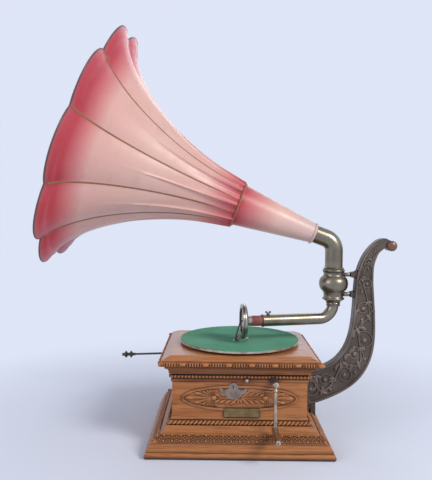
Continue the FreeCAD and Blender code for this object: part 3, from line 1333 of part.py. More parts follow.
def box_slice(profile, across, half_width):
    # A flat piece in an upright plane through the sound box, from distances ahead of its back and heights.
    corners_near = [box_point(SOUND_BOX_BACK + ahead, z, across - half_width) for ahead, z in profile]
    return polygon(corners_near).extrude(level(BOX_YAW + 90) * (2 * half_width))


def diaphragm_front():
    return SOUND_BOX_THICK - SOUND_BOX_WALL - 0.7


def diaphragm():
    disc = rod(DIAPHRAGM_RADIUS, (0, 0, 0), (0, 0, DIAPHRAGM_THICK))
    return along_box(disc, SOUND_BOX_BACK + diaphragm_front() - DIAPHRAGM_THICK)


def stylus_bar():
    # Bent lever from the middle of the diaphragm down to the needle's chuck.
    face, low = diaphragm_front(), stylus_z()
    elbow = CHUCK_REACH - SOUND_BOX_BACK - 2.0
    profile = [(face, ARM_Z + 1.2), (face + 4.6, ARM_Z + 1.2), (elbow, low + 8), (elbow, low - 1),
               (elbow - 3, low - 1), (elbow - 3, low + 7), (face + 3.0, ARM_Z - 1.6), (face, ARM_Z - 1.6)]
    lever = box_slice(profile, 0, 1.3)
    chuck = along_box(rod(CHUCK_RADIUS, (0, 0, 0), (0, 0, CHUCK_LENGTH)), CHUCK_REACH - CHUCK_LENGTH, chuck_z())
    thread = along_box(rod(THUMB_STEM_RADIUS + RUNNING_FIT, (0, 0, -1), (0, 0, 4.5)), CHUCK_REACH - CHUCK_LENGTH,
                       chuck_z())
    return lever.fuse(chuck).cut(thread).cut(needle())


def chuck_z():
    return stylus_z() - 1.8


def needle():
    tip_z = PLATTER_TOP + FELT_THICK + NEEDLE_CLEARANCE
    start = Vector(*box_point(CHUCK_REACH - 2.4, stylus_z()))
    end = Vector(*box_point(CHUCK_REACH + 3.4, tip_z))
    shank = start + (end - start) * 0.7
    body = Part.makeCylinder(NEEDLE_RADIUS, (shank - start).Length, start, end - start)
    point = Part.makeCone(NEEDLE_RADIUS, NEEDLE_TIP_RADIUS, (end - shank).Length, shank, end - start)
    return body.fuse(point)


def needle_screw():
    # Thumb screw behind the chuck, under the sound box.
    r, length = THUMB_HEAD_RADIUS, THUMB_REACH
    stem = THUMB_STEM_RADIUS
    screw = turned((0, 0), (stem, 0), (stem, length), (r, length), (r, length + 3.6), (0, length + 3.6))
    return placed(screw, box_point(CHUCK_REACH - CHUCK_LENGTH + 4.0, chuck_z()), -level(BOX_YAW))


def plate_pins():
    pins = []
    for x, z, thick in plate_pin_places():
        raised = OVAL_RELIEF if thick == PLATE_THICK else 0.0
        face_y = FRONT_Y - raised - thick
        stem = rod(PIN_RADIUS, (x, face_y, z), (x, FRONT_Y + PIN_LENGTH, z))
        head = rod(PIN_RADIUS + 0.8, (x, face_y, z), (x, face_y - PIN_HEAD, z))
        pins.append(stem.fuse(head))
    return group(pins)


NODES = {
    "bottom_board": bottom_board,
    "front_panel": front_panel,
    "back_panel": back_panel,
    "left_panel": left_panel,
    "right_panel": right_panel,
    "plinth_moulding": plinth,
    "cornice_moulding": cornice,
    "top_board": top_board,
    "glue_blocks": glue_blocks,
    "name_plate": name_plate,
    "badge_plate": badge,
    "plate_pins": plate_pins,
    "crank_bush": crank_bush,
    "crank_shaft": crank_shaft,
    "crank_arm": crank_arm,
    "crank_grip": crank_grip,
    "speed_screw": speed_screw,
    "speed_lever": speed_lever,
    "brake_rod": brake_rod,
    "brake_knob": brake_knob,
    "brake_shoe": brake_shoe,
    "platter": platter,
    "platter_felt": felt,
    "spindle": spindle,
    "worm_wheel": worm_wheel,
    "motor_plate": motor_plate,
    "motor_lower_plate": motor_lower_plate,
    "motor_pillars": motor_pillars,
    "motor_bolts": motor_bolts,
    "motor_bushes": motor_bushes,
    "spring_barrel": spring_barrel,
    "barrel_lid": barrel_lid,
    "mainspring": mainspring,
    "barrel_arbor": barrel_arbor,
    "winding_wheel": winding_wheel,
    "ratchet_pawl": pawl,
    "middle_arbor": middle_arbor,
    "middle_wheel": middle_wheel,
    "governor_shaft": governor_shaft,
    "governor_disc": governor_disc,
    "governor_springs": governor_springs,
    "governor_weights": governor_weights,
    "bracket": bracket,
    "bracket_screws": bracket_screws,
    "swivel_bulb": swivel_bulb,
    "horn_elbow": horn_elbow,
    "horn_neck": horn_neck,
    "horn_bell": horn_bell,
    "horn_seams": horn_seams,
    "horn_rim": horn_rim,
    "tone_arm": tone_arm,
    "wing_screw": wing_screw,
    "arm_sleeve": arm_sleeve,
    "sound_box": sound_box,
    "diaphragm": diaphragm,
    "stylus_bar": stylus_bar,
    "needle": needle,
    "needle_screw": needle_screw,
}

for name, make in NODES.items():
    make().exportStep("parts/" + name + ".step")
print(len(NODES), "nodes written")
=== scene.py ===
import math

import bmesh
import bpy
from mathutils import Matrix, Vector
from mathutils.geometry import interpolate_bezier


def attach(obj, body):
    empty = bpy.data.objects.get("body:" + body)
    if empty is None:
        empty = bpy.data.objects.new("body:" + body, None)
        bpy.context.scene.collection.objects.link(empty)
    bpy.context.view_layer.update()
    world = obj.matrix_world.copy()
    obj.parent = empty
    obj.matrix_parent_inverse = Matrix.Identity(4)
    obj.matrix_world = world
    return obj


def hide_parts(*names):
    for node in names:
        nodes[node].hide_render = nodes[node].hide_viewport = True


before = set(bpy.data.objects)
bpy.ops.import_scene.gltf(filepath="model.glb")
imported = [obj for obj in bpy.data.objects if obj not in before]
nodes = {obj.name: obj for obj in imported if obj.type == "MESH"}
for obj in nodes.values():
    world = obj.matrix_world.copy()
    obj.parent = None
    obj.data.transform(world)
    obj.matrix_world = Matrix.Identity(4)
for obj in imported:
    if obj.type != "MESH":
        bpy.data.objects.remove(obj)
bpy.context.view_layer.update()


# Case boards: oak panels on a softwood bottom, with a bevelled top board. The boards are planed, stained
# a warm brown and varnished, so the top catches the light of the room.
OAK_DARK = (0.125, 0.036, 0.008, 1.0)
OAK_MIDDLE = (0.285, 0.080, 0.015, 1.0)
OAK_LIGHT = (0.440, 0.168, 0.052, 1.0)
# painted shade: the near-black brown that the oak is darkened to in its corners and recesses
CREVICE_SHADE_COLOUR = (0.030, 0.013, 0.007, 1.0)
SOFTWOOD = (0.42, 0.27, 0.14, 1.0)
# how fine the grain is along a board and across it
GRAIN_ALONG = 5.0
GRAIN_ACROSS = 90.0
# from the middle of the case to the outer faces of its panels
HALF_LENGTH = 0.133
HALF_DEPTH = 0.118


def new_material(name, roughness, metallic=0.0):
    material = bpy.data.materials.new(name)
    material.use_nodes = True
    shader = material.node_tree.nodes["Principled BSDF"]
    shader.inputs["Roughness"].default_value = roughness
    shader.inputs["Metallic"].default_value = metallic
    return material, material.node_tree, shader


def add(tree, kind, **values):
    node = tree.nodes.new(kind)
    for key, value in values.items():
        setattr(node, key, value)
    return node


def feed(tree, value, socket):
    if isinstance(value, bpy.types.NodeSocket):
        tree.links.new(value, socket)
    else:
        socket.default_value = value


def ramp(tree, value, stops):
    node = add(tree, "ShaderNodeValToRGB")
    elements = node.color_ramp.elements
    while len(elements) < len(stops):
        elements.new(0.5)
    for element, (position, colour) in zip(elements, stops):
        element.position = position
        element.color = colour
    feed(tree, value, node.inputs["Fac"])
    return node.outputs["Color"]


def shades(tree, value, stops):
    return ramp(tree, value, [(position, (grey, grey, grey, 1.0)) for position, grey in stops])


def object_point(tree, scale=(1, 1, 1), shift=(0, 0, 0)):
    mapping = add(tree, "ShaderNodeMapping")
    mapping.inputs["Scale"].default_value = scale
    mapping.inputs["Location"].default_value = shift
    feed(tree, add(tree, "ShaderNodeTexCoord").outputs["Object"], mapping.inputs["Vector"])
    return mapping.outputs["Vector"]


def cloud(tree, point, scale, detail=4.0, roughness=0.5, distortion=0.0):
    node = add(tree, "ShaderNodeTexNoise")
    node.inputs["Scale"].default_value = scale
    node.inputs["Detail"].default_value = detail
    node.inputs["Roughness"].default_value = roughness
    node.inputs["Distortion"].default_value = distortion
    feed(tree, point, node.inputs["Vector"])
    return node.outputs["Fac"]


def mix(tree, share, first, second, way="MIX"):
    node = add(tree, "ShaderNodeMix", data_type="RGBA", blend_type=way)
    feed(tree, share, node.inputs[0])
    feed(tree, first, node.inputs[6])
    feed(tree, second, node.inputs[7])
    return node.outputs[2]


def math_of(tree, operation, *values):
    node = add(tree, "ShaderNodeMath", operation=operation)
    for value, socket in zip(values, node.inputs):
        feed(tree, value, socket)
    return node.outputs[0]


def bumpy(tree, shader, height, strength, distance):
    node = add(tree, "ShaderNodeBump")
    node.inputs["Strength"].default_value = strength
    node.inputs["Distance"].default_value = distance
    feed(tree, height, node.inputs["Height"])
    feed(tree, node.outputs["Normal"], shader.inputs["Normal"])


def crevices(tree, reach):
    # 0 deep in a corner, 1 on open surfaces.
    node = add(tree, "ShaderNodeAmbientOcclusion", samples=6)
    node.inputs["Distance"].default_value = reach
    return node.outputs["AO"]


def along_grain(tree, run):
    # Object position, drawn out along the boards. "round" follows mouldings that are mitred at the corners.
    place = object_point(tree)
    runs = {}
    for axis in "XY":
        stretch = add(tree, "ShaderNodeVectorMath", operation="MULTIPLY")
        feed(tree, place, stretch.inputs[0])
        fineness = [GRAIN_ALONG if letter == axis else GRAIN_ACROSS for letter in "XYZ"]
        stretch.inputs[1].default_value = fineness
        runs[axis] = stretch.outputs["Vector"]
    if run in runs:
        return runs[run]
    parts = add(tree, "ShaderNodeSeparateXYZ")
    feed(tree, place, parts.inputs[0])
    side = math_of(tree, "SUBTRACT", math_of(tree, "ABSOLUTE", parts.outputs["X"]), HALF_LENGTH)
    front = math_of(tree, "SUBTRACT", math_of(tree, "ABSOLUTE", parts.outputs["Y"]), HALF_DEPTH)
    return mix(tree, math_of(tree, "GREATER_THAN", side, front), runs["X"], runs["Y"])


def finer(tree, point, times):
    node = add(tree, "ShaderNodeVectorMath", operation="SCALE")
    feed(tree, point, node.inputs[0])
    node.inputs["Scale"].default_value = times
    return node.outputs["Vector"]


def oak(name, run, tone=0.5, coat=0.15, shade_reach=0.010):
    # tone is how light the stain is, coat how thick the varnish, and the last how far painted shade reaches
    # from corners.
    material, tree, shader = new_material(name, 0.42)
    shader.inputs["Specular IOR Level"].default_value = 0.35
    point = along_grain(tree, run)
    grain = cloud(tree, point, 1.0, 5.0, 0.62, 0.35)
    broad = cloud(tree, finer(tree, point, 0.25), 1.0, 3.0, 0.5)
    lift = math_of(tree, "MULTIPLY_ADD", broad, 0.55, tone - 0.52)
    share = math_of(tree, "ADD", grain, lift)
    colour = ramp(tree, share, [(0.30, OAK_DARK), (0.50, OAK_MIDDLE), (0.78, OAK_LIGHT)])
    pores = cloud(tree, finer(tree, point, 4.0), 1.0, 2.0, 0.6)
    colour = mix(tree, 1.0, colour, shades(tree, pores, [(0.36, 0.66), (0.48, 1.0)]), "MULTIPLY")
    # painted shade: corners and recesses fade towards that near-black brown
    crevice_shade = shades(tree, crevices(tree, shade_reach), [(0.42, 0.0), (1.0, 1.0)])
    feed(tree, mix(tree, crevice_shade, CREVICE_SHADE_COLOUR, colour), shader.inputs["Base Color"])
    feed(tree, shades(tree, grain, [(0.3, 0.52), (0.7, 0.34)]), shader.inputs["Roughness"])
    bumpy(tree, shader, pores, 0.16, 0.0004)
    shader.inputs["Coat Weight"].default_value = coat
    shader.inputs["Coat Roughness"].default_value = 0.24
    return material


def softwood():
    material, tree, shader = new_material("softwood", 0.7)
    grain = cloud(tree, object_point(tree, scale=(6, 70, 70)), 1.0, 5.0, 0.6)
    dark = tuple(channel * 0.6 for channel in SOFTWOOD[:3]) + (1.0,)
    feed(tree, ramp(tree, grain, [(0.35, dark), (0.65, SOFTWOOD)]), shader.inputs["Base Color"])
    bumpy(tree, shader, grain, 0.2, 0.0005)
    return material


def paint(material, *names):
    for name in names:
        mesh = nodes[name].data
        mesh.materials.clear()
        mesh.materials.append(material)


oak_long = oak("oak_long", "X", tone=0.51)
oak_cross = oak("oak_cross", "Y")
oak_top = oak("oak_top", "X", tone=0.60, coat=0.7, shade_reach=0.004)
paint(oak_long, "front_panel", "back_panel")
paint(oak_cross, "left_panel", "right_panel")
paint(oak_top, "top_board")
paint(softwood(), "bottom_board", "glue_blocks")


# Base moulding: four mitred lengths of oak. Two stems cross over and over along the slope with small leaves
# in every loop, and a rope runs under the panels. All of it is cut by hand into the stained wood.
# the stems' band: out from the panels, height, length of a loop, and the way up the slope
BAND_OFFSET = 0.0296
BAND_Z = 0.0354
BAND_PITCH = 0.0160
BAND_SLOPE = (-0.742, 0.670)
STEM_RISE = 0.0072
STEM_BEADS = 6
LOOP_LEAF_PLACE = 0.0032
GAP_LEAF_PLACE = 0.0058
ROPE_OFFSET = 0.0072
ROPE_Z = 0.0575
ROPE_PITCH = 0.0082
ROPE_SLANT = 0.75
# length, width and height of one cut
STEM_BEAD = (0.0044, 0.0026, 0.0042)
LOOP_LEAF = (0.0056, 0.0034, 0.0048)
GAP_LEAF = (0.0062, 0.0050, 0.0046)
ROPE_STRAND = (0.0150, 0.0064, 0.0084)

oak_round = oak("oak_round", "round", tone=0.51, shade_reach=0.016)
oak_carved = oak("oak_carved", "round", tone=0.78, coat=0.3, shade_reach=0.004)
paint(oak_round, "plinth_moulding")


def unit_lobe():
    # A coarse ball, which lobe() stretches into every carved boss.
    mesh = bpy.data.meshes.new("lobe")
    bm = bmesh.new()
    bmesh.ops.create_uvsphere(bm, u_segments=8, v_segments=5, radius=1.0)
    bm.to_mesh(mesh)
    bm.free()
    return mesh


LOBE = unit_lobe()


def lobe(bm, place, direction, normal, size):
    # A low rounded boss: length along the direction, width across it and height along the normal.
    direction = Vector(direction).normalized()
    normal = Vector(normal).normalized()
    turn = Matrix((direction, normal.cross(direction), normal)).transposed().to_4x4()
    half_size = Matrix.Diagonal((size[0] / 2, size[1] / 2, size[2] / 2, 1.0))
    boss = LOBE.copy()
    boss.transform(Matrix.Translation(place) @ turn @ half_size)
    bm.from_mesh(boss)
    bpy.data.meshes.remove(boss)


def finish(name, bm, material, body, replaces=(), crease=60):
    # crease is the angle from which an edge looks sharp.
    mesh = bpy.data.meshes.new(name)
    bmesh.ops.recalc_face_normals(bm, faces=bm.faces)
    bm.to_mesh(mesh)
    bm.free()
    mesh.shade_smooth()
    mesh.set_sharp_from_angle(angle=math.radians(crease))
    mesh.materials.append(material)
    piece = bpy.data.objects.new(name, mesh)
    bpy.context.scene.collection.objects.link(piece)
    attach(piece, body)
    if replaces:
        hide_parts(*replaces)


def round_case(offset, z, pitch):
    # Places along a moulding: yields (place, direction of run, outward direction) on all four sides.
    for quarter in range(4):
        turn = Matrix.Rotation(math.radians(90 * quarter), 3, "Z")
        out = (HALF_DEPTH, HALF_LENGTH)[quarter % 2] + offset
        half = (HALF_LENGTH, HALF_DEPTH)[quarter % 2] + offset
        count = round(2 * half / pitch)
        for index in range(count):
            run = -half + (index + 0.5) * 2 * half / count
            yield turn @ Vector((run, -out, z)), turn @ Vector((1, 0, 0)), turn @ Vector((0, -1, 0))


bm = bmesh.new()
for place, run, out in round_case(BAND_OFFSET, BAND_Z, BAND_PITCH):
    up = out * BAND_SLOPE[0] + Vector((0, 0, BAND_SLOPE[1]))
    normal = run.cross(up)
    for way in (-1, 1):
        for step in range(STEM_BEADS):
            turn = math.pi * (step + 0.5) / STEM_BEADS
            direction = run + up * way * math.cos(turn) * STEM_RISE * math.pi / BAND_PITCH
            ahead = run * BAND_PITCH * ((step + 0.5) / STEM_BEADS - 0.5)
            lobe(bm, place + ahead + up * way * STEM_RISE * math.sin(turn), direction, normal, STEM_BEAD)
        lobe(bm, place + up * way * LOOP_LEAF_PLACE, up, normal, LOOP_LEAF)
        lobe(bm, place + run * way * LOOP_LEAF_PLACE, run, normal, LOOP_LEAF)
        lobe(bm, place + run * BAND_PITCH / 2 + up * way * GAP_LEAF_PLACE, up, normal, GAP_LEAF)
finish("plinth_leaves", bm, oak_carved, "case")

bm = bmesh.new()
for place, run, out in round_case(ROPE_OFFSET, ROPE_Z, ROPE_PITCH):
    lobe(bm, place, run + Vector((0, 0, ROPE_SLANT)), out, ROPE_STRAND)
finish("plinth_rope", bm, oak_carved, "case")


# Cornice: mitred oak again, with a row of pearls over the panels and groups of beads between plain
# spindles round the widest part. All of them are carved from the moulding itself.
PEARL_OFFSET = 0.0040
PEARL_Z = 0.1481
PEARL_PITCH = 0.0068
BEAD_OFFSET = 0.0230
BEAD_Z = 0.1759
BEAD_GROUP = 0.044
BEAD_SPACING = 0.0052
GROUP_END = 0.0125
# length, width and height of a pearl, a bead, the ring that ends a group, and the spindle after it
PEARL = (0.0060, 0.0060, 0.0060)
BEAD = (0.0050, 0.0094, 0.0088)
END_RING = (0.0024, 0.0106, 0.0098)
SPINDLE = (0.0170, 0.0074, 0.0064)

# painted shade: the cornice's oak is a darker copy of the panels' oak
oak_shaded = oak("oak_shaded", "round", tone=0.34, shade_reach=0.014)
paint(oak_shaded, "cornice_moulding")

bm = bmesh.new()
for place, run, out in round_case(PEARL_OFFSET, PEARL_Z, PEARL_PITCH):
    lobe(bm, place, run, out, PEARL)
finish("cornice_pearls", bm, oak_carved, "case")

bm = bmesh.new()
for place, run, out in round_case(BEAD_OFFSET, BEAD_Z, BEAD_GROUP):
    for step in (-1.5, -0.5, 0.5, 1.5):
        lobe(bm, place + run * step * BEAD_SPACING, run, out, BEAD)
    for side in (-1, 1):
        lobe(bm, place + run * side * GROUP_END, run, out, END_RING)
    lobe(bm, place + run * BEAD_GROUP / 2, run, out, SPINDLE)
finish("cornice_beads", bm, oak_carved, "case")


# Carved ovals: on the front, back and left panels, a palmette in each half of the oval frame, and sprays of
# leaves on the stalk that joins it to a flower in the middle. Cut in low relief. On the front the keyhole
# badge lies over the flower.
OVAL_Z = 0.10495
OVAL_INNER_HEIGHT = 0.0205
OVAL_FRAME = 0.0045
LONG_OVAL = 0.1145
SHORT_OVAL = 0.0875
RELIEF = 0.0038
# the palmette: its centre as a share of the oval's inner half length, its leaves' spread in degrees, how
# much of the way to the frame they take, how far from the centre they start, and their least width
FAN_PLACE = 0.46
FAN_SPREAD = 105
FAN_STEP = 15
FAN_REACH = 0.97
FAN_START = 0.004
FAN_WIDTH = 0.0030
FAN_RIB = 0.0013
FAN_BOSS = (0.0120, 0.0120, RELIEF * 1.6)
# the stalk, the sprays along it with the room that each takes, and the flower
STALK_WIDTH = 0.0034
SPRAY_START = (0.006, 0.003)
SPRAY_PITCH = 0.0105
SPRAY_ROOM = 0.0125
SPRAY_LEAF = (0.0190, 0.0060, RELIEF * 0.95)
SPRAY_SHORTER = 0.0012
SPRAY_REACH = 0.0085
SPRAY_LEAN = 40
SPRAY_STRAIGHTER = 5
FLOWER_PETALS = 8
FLOWER_RADIUS = 0.007
FLOWER_PETAL = (0.0100, 0.0056, RELIEF * 0.9)


def reach_to_oval(offset, lean, half_length):
    # Distance from a point on the long axis to the oval frame, in the direction that leans off that axis.
    a, b = half_length, OVAL_INNER_HEIGHT
    across, rise = math.cos(lean) / a, math.sin(lean) / b
    start = offset / a
    square = across ** 2 + rise ** 2
    return (-across * start + math.sqrt((across * start) ** 2 + square * (1 - start ** 2))) / square


def palmette(bm, middle, side, run, out, offset, half_length):
    # Leaves that spread from one point to the oval frame, each a broad blade with a raised tip and rib.
    centre = middle + run * side * offset
    for degrees in range(-FAN_SPREAD, FAN_SPREAD + 1, FAN_STEP):
        lean = math.radians(degrees)
        towards = run * side * math.cos(lean) + Vector((0, 0, 1)) * math.sin(lean)
        reach = reach_to_oval(offset, lean, half_length) * FAN_REACH
        place = centre + towards * (FAN_START + reach) / 2
        blade = (reach - FAN_START / 2, FAN_WIDTH + 0.075 * reach, RELIEF * 0.9)
        tip = (reach * 0.34, FAN_WIDTH + 0.11 * reach, RELIEF * 1.15)
        lobe(bm, place, towards, out, blade)
        lobe(bm, centre + towards * reach * 0.80, towards, out, tip)
        lobe(bm, place, towards, out, (reach * 0.8, FAN_RIB, RELIEF * 1.45))
    lobe(bm, centre, run, out, FAN_BOSS)


def oval_carving(name, out, face, half_length):
    # The carving on the panel that looks outwards, with its face at that distance from the case's middle.
    bm = bmesh.new()
    middle = out * face + Vector((0, 0, OVAL_Z))
    run = Vector((0, 0, 1)).cross(out)
    inner = half_length - OVAL_FRAME
    centre = inner * FAN_PLACE
    for side in (-1, 1):
        palmette(bm, middle, side, run, out, centre, inner)
        for step in range(round(centre / SPRAY_ROOM)):
            ahead = run * side * (SPRAY_START[0] + SPRAY_PITCH * step)
            size = (SPRAY_LEAF[0] - SPRAY_SHORTER * step, SPRAY_LEAF[1], SPRAY_LEAF[2])
            for half in (-1, 1):
                lean = math.radians(SPRAY_LEAN - SPRAY_STRAIGHTER * step) * half
                towards = run * side * math.cos(lean) + Vector((0, 0, math.sin(lean)))
                start = middle + ahead + Vector((0, 0, SPRAY_START[1] * half))
                lobe(bm, start + towards * SPRAY_REACH, towards, out, size)
        lobe(bm, middle + run * side * centre / 2, run, out, (centre, STALK_WIDTH, RELIEF * 0.9))
    for petal in range(FLOWER_PETALS):
        turn = 2 * math.pi * (petal + 0.5) / FLOWER_PETALS
        towards = run * math.cos(turn) + Vector((0, 0, math.sin(turn)))
        lobe(bm, middle + towards * FLOWER_RADIUS, towards, out, FLOWER_PETAL)
    finish(name, bm, oak_carved, "case")


oval_carving("front_carving", Vector((0, -1, 0)), HALF_DEPTH, LONG_OVAL)
oval_carving("back_carving", Vector((0, 1, 0)), HALF_DEPTH, LONG_OVAL)
oval_carving("left_carving", Vector((-1, 0, 0)), HALF_LENGTH, SHORT_OVAL)


# Metal trim and fittings: the bare brass plate, the grey keyhole badge, their pins, the nickelled crank
# with its bush, the speed knob and the darkened brake rod. Cast or turned, plated and worn by handling.
# The turntable's edge is nickelled like the crank.
NICKEL = (0.28, 0.250, 0.192, 1.0)
NICKEL_STAIN_AND_SHADE = (0.085, 0.064, 0.040, 1.0)
WORN_NICKEL = (0.60, 0.50, 0.39, 1.0)
DULL_NICKEL = (0.40, 0.37, 0.32, 1.0)
BRASS = (0.30, 0.210, 0.092, 1.0)
BRASS_STAIN_AND_SHADE = (0.10, 0.065, 0.03, 1.0)
GREY_METAL = (0.32, 0.265, 0.22, 1.0)
PEWTER = (0.26, 0.245, 0.235, 1.0)
DARK_METAL = (0.10, 0.088, 0.08, 1.0)
DARK_STAIN_AND_SHADE = (0.05, 0.04, 0.035, 1.0)
STEEL = (0.48, 0.47, 0.46, 1.0)
STEEL_STAIN_AND_SHADE = (0.20, 0.17, 0.14, 1.0)


def metal(name, colour, stain, roughness, spots, stained, wear=0.06):
    # spots is how fine the stains are, stained how much of the metal they cover, wear how rough it feels.
    material, tree, shader = new_material(name, roughness, 1.0)
    point = object_point(tree)
    patches = cloud(tree, point, spots, 6.0, 0.62)
    fine = cloud(tree, object_point(tree, shift=(5, 2, 7)), spots * 9, 3.0, 0.6)
    share = shades(tree, patches, [(0.62 - 0.3 * stained, 0.0), (0.62, 1.0)])
    base = mix(tree, share, colour, mix(tree, 0.5, colour, stain))
    # painted shade: corners and recesses are darkened towards the stain colour
    corners = shades(tree, crevices(tree, 0.005), [(0.3, 0.0), (0.85, 1.0)])
    feed(tree, mix(tree, corners, stain, base), shader.inputs["Base Color"])
    low, high = roughness * 0.9, roughness * 1.3
    feed(tree, shades(tree, patches, [(0.35, low), (0.68, high)]), shader.inputs["Roughness"])
    bumpy(tree, shader, fine, wear, 0.0002)
    return material


nickel = metal("nickel", NICKEL, NICKEL_STAIN_AND_SHADE, 0.28, 26.0, 0.9, wear=0.01)
worn_nickel = metal("worn_nickel", WORN_NICKEL, NICKEL_STAIN_AND_SHADE, 0.27, 60.0, 0.6, wear=0.02)
dull_nickel = metal("dull_nickel", DULL_NICKEL, NICKEL_STAIN_AND_SHADE, 0.26, 50.0, 0.6, wear=0.02)
pewter = metal("pewter", PEWTER, DARK_METAL, 0.30, 70.0, 0.6)
brass = metal("brass", BRASS, BRASS_STAIN_AND_SHADE, 0.34, 60.0, 0.8)
grey_metal = metal("grey_metal", GREY_METAL, DARK_METAL, 0.42, 80.0, 0.5)
dark_metal = metal("dark_metal", DARK_METAL, DARK_STAIN_AND_SHADE, 0.40, 60.0, 0.4)
steel = metal("steel", STEEL, STEEL_STAIN_AND_SHADE, 0.30, 50.0, 0.5)
paint(brass, "name_plate", "plate_pins")
paint(grey_metal, "badge_plate")
paint(dark_metal, "brake_rod", "brake_knob", "bracket_screws", "crank_bush", "mainspring", "stylus_bar")
paint(worn_nickel, "crank_arm", "speed_screw", "platter")
paint(steel, "crank_shaft")


# Crank handle: a slim turned hardwood grip that runs free on its steel pin, held by a riveted washer. The
# wood is stained dark, and polished by use.
GRIP_DARK = (0.07, 0.028, 0.013, 1.0)
GRIP_LIGHT = (0.24, 0.10, 0.045, 1.0)
GRIP_END = Vector((0.067, -0.2145, 0.0545))
RIVET_END = GRIP_END + Vector((0, -0.0010, 0))
WASHER = (0.0094, 0.0094, 0.0024)
RIVET = (0.0032, 0.0032, 0.0020)


def grip_wood():
    material, tree, shader = new_material("grip_wood", 0.4)
    grain = cloud(tree, object_point(tree, scale=(90, 9, 90)), 1.0, 5.0, 0.6)
    feed(tree, ramp(tree, grain, [(0.32, GRIP_DARK), (0.68, GRIP_LIGHT)]), shader.inputs["Base Color"])
    bumpy(tree, shader, grain, 0.1, 0.0003)
    shader.inputs["Coat Weight"].default_value = 0.4
    return material


paint(grip_wood(), "crank_grip")
for name, place, size, material in (("grip_washer", GRIP_END, WASHER, worn_nickel),
                                    ("grip_rivet", RIVET_END, RIVET, dark_metal)):
    bm = bmesh.new()
    lobe(bm, place, (1, 0, 0), (0, -1, 0), size)
    finish(name, bm, material, "crank")


# Turntable: a spun steel disc on a tapered steel spindle. The green wool felt is glued to its top, a little
# inside the disc's edge, and is lighter in soft patches.
FELT = (0.086, 0.285, 0.180, 1.0)
FELT_LIGHT = (0.138, 0.370, 0.252, 1.0)


def felt_material():
    material, tree, shader = new_material("felt", 0.95)
    fibres = cloud(tree, object_point(tree), 900.0, 3.0, 0.7)
    patches = cloud(tree, object_point(tree), 14.0, 4.0, 0.5)
    share = math_of(tree, "MULTIPLY_ADD", patches, 0.7, math_of(tree, "MULTIPLY", fibres, 0.35))
    feed(tree, ramp(tree, share, [(0.38, FELT), (0.68, FELT_LIGHT)]), shader.inputs["Base Color"])
    shader.inputs["Specular IOR Level"].default_value = 0.15
    bumpy(tree, shader, fibres, 0.35, 0.0005)
    return material


paint(felt_material(), "platter_felt")
paint(steel, "spindle")


# Spring motor: cast plates, brass wheels and bright steel arbors, hung under the top board on rubber
# bushes. All of it is inside the case. The brake's shoe is of the same red rubber.
IRON_DARK = (0.062, 0.047, 0.038, 1.0)
IRON_LIGHT = (0.125, 0.098, 0.080, 1.0)
RUBBER_DARK = (0.15, 0.036, 0.030, 1.0)
RUBBER_LIGHT = (0.28, 0.080, 0.066, 1.0)


def iron_material(name, low, high, roughness):
    material, tree, shader = new_material(name, roughness, 0.35)
    grit = cloud(tree, object_point(tree), 420.0, 4.0, 0.65)
    patches = cloud(tree, object_point(tree), 22.0, 5.0, 0.6)
    base = ramp(tree, patches, [(0.36, low), (0.70, high)])
    # painted shade: corners and recesses are darkened to about a third
    crevice_shade = shades(tree, crevices(tree, 0.004), [(0.3, 0.35), (0.9, 1.0)])
    feed(tree, mix(tree, 1.0, base, crevice_shade, "MULTIPLY"), shader.inputs["Base Color"])
    gloss = shades(tree, patches, [(0.3, roughness + 0.14), (0.7, roughness - 0.08)])
    feed(tree, gloss, shader.inputs["Roughness"])
    bumpy(tree, shader, grit, 0.22, 0.0004)
    return material


def rubber_material():
    material, tree, shader = new_material("red_rubber", 0.62)
    patches = cloud(tree, object_point(tree), 120.0, 4.0, 0.6)
    feed(tree, ramp(tree, patches, [(0.35, RUBBER_DARK), (0.68, RUBBER_LIGHT)]), shader.inputs["Base Color"])
    bumpy(tree, shader, patches, 0.15, 0.0004)
    return material


rubber = rubber_material()
iron = iron_material("cast_iron", IRON_DARK, IRON_LIGHT, 0.46)
paint(iron, "motor_plate", "motor_lower_plate")
paint(brass, "worm_wheel", "middle_wheel", "spring_barrel", "barrel_lid", "governor_disc", "governor_weights")
paint(steel, "motor_pillars", "motor_bolts", "middle_arbor", "barrel_arbor", "winding_wheel", "ratchet_pawl",
      "governor_shaft", "governor_springs", "speed_lever")
paint(rubber, "motor_bushes", "brake_shoe")


# Bracket: one grey iron casting, lacquered brown. The domes on its curl are copper brown, a painted
# highlight.
# Both faces have a raised border and a vine from flange to curl, with a volute in every bend and leaves about
# it.
RAISED_DARK = (0.105, 0.081, 0.066, 1.0)
RAISED_LIGHT = (0.200, 0.158, 0.128, 1.0)
# painted highlight: the copper brown of the domes on the curl
CURL_HIGHLIGHT_DARK = (0.090, 0.048, 0.035, 1.0)
CURL_HIGHLIGHT_LIGHT = (0.240, 0.120, 0.080, 1.0)
BRACKET_FACE = 0.0110
BORDER_INSET = 0.0030
BORDER_RADIUS = 0.0026
CURL_PLACE = (0.3248, 0.0, 0.4020)
CURL_FACE = 0.0135
CURL_DOME = (0.0104, 0.0052)
BRACKET_INSIDE = ((0.146, 0.131), (0.180, 0.1396), (0.207, 0.1545), (0.231, 0.1864), (0.243, 0.230),
                  (0.2475, 0.288), (0.2525, 0.342), (0.2714, 0.3887), (0.292, 0.411))
BRACKET_OUTSIDE = ((0.150, 0.0645), (0.1616, 0.060), (0.222, 0.085), (0.2626, 0.117), (0.286, 0.161),
                   (0.293, 0.230), (0.288, 0.313), (0.2895, 0.364), (0.2995, 0.3885))
WEB_PARTS = 120
# nothing is cast on the web nearer to its edges than this share of its half width and this margin leave
WEB_SHARE = 0.72
WEB_MARGIN = 0.003
VINE_RADIUS = 0.0024
VINE_PARTS = 48
VINE_WAVES = 4.0
VINE_START = 0.06
VINE_SWING = 0.42
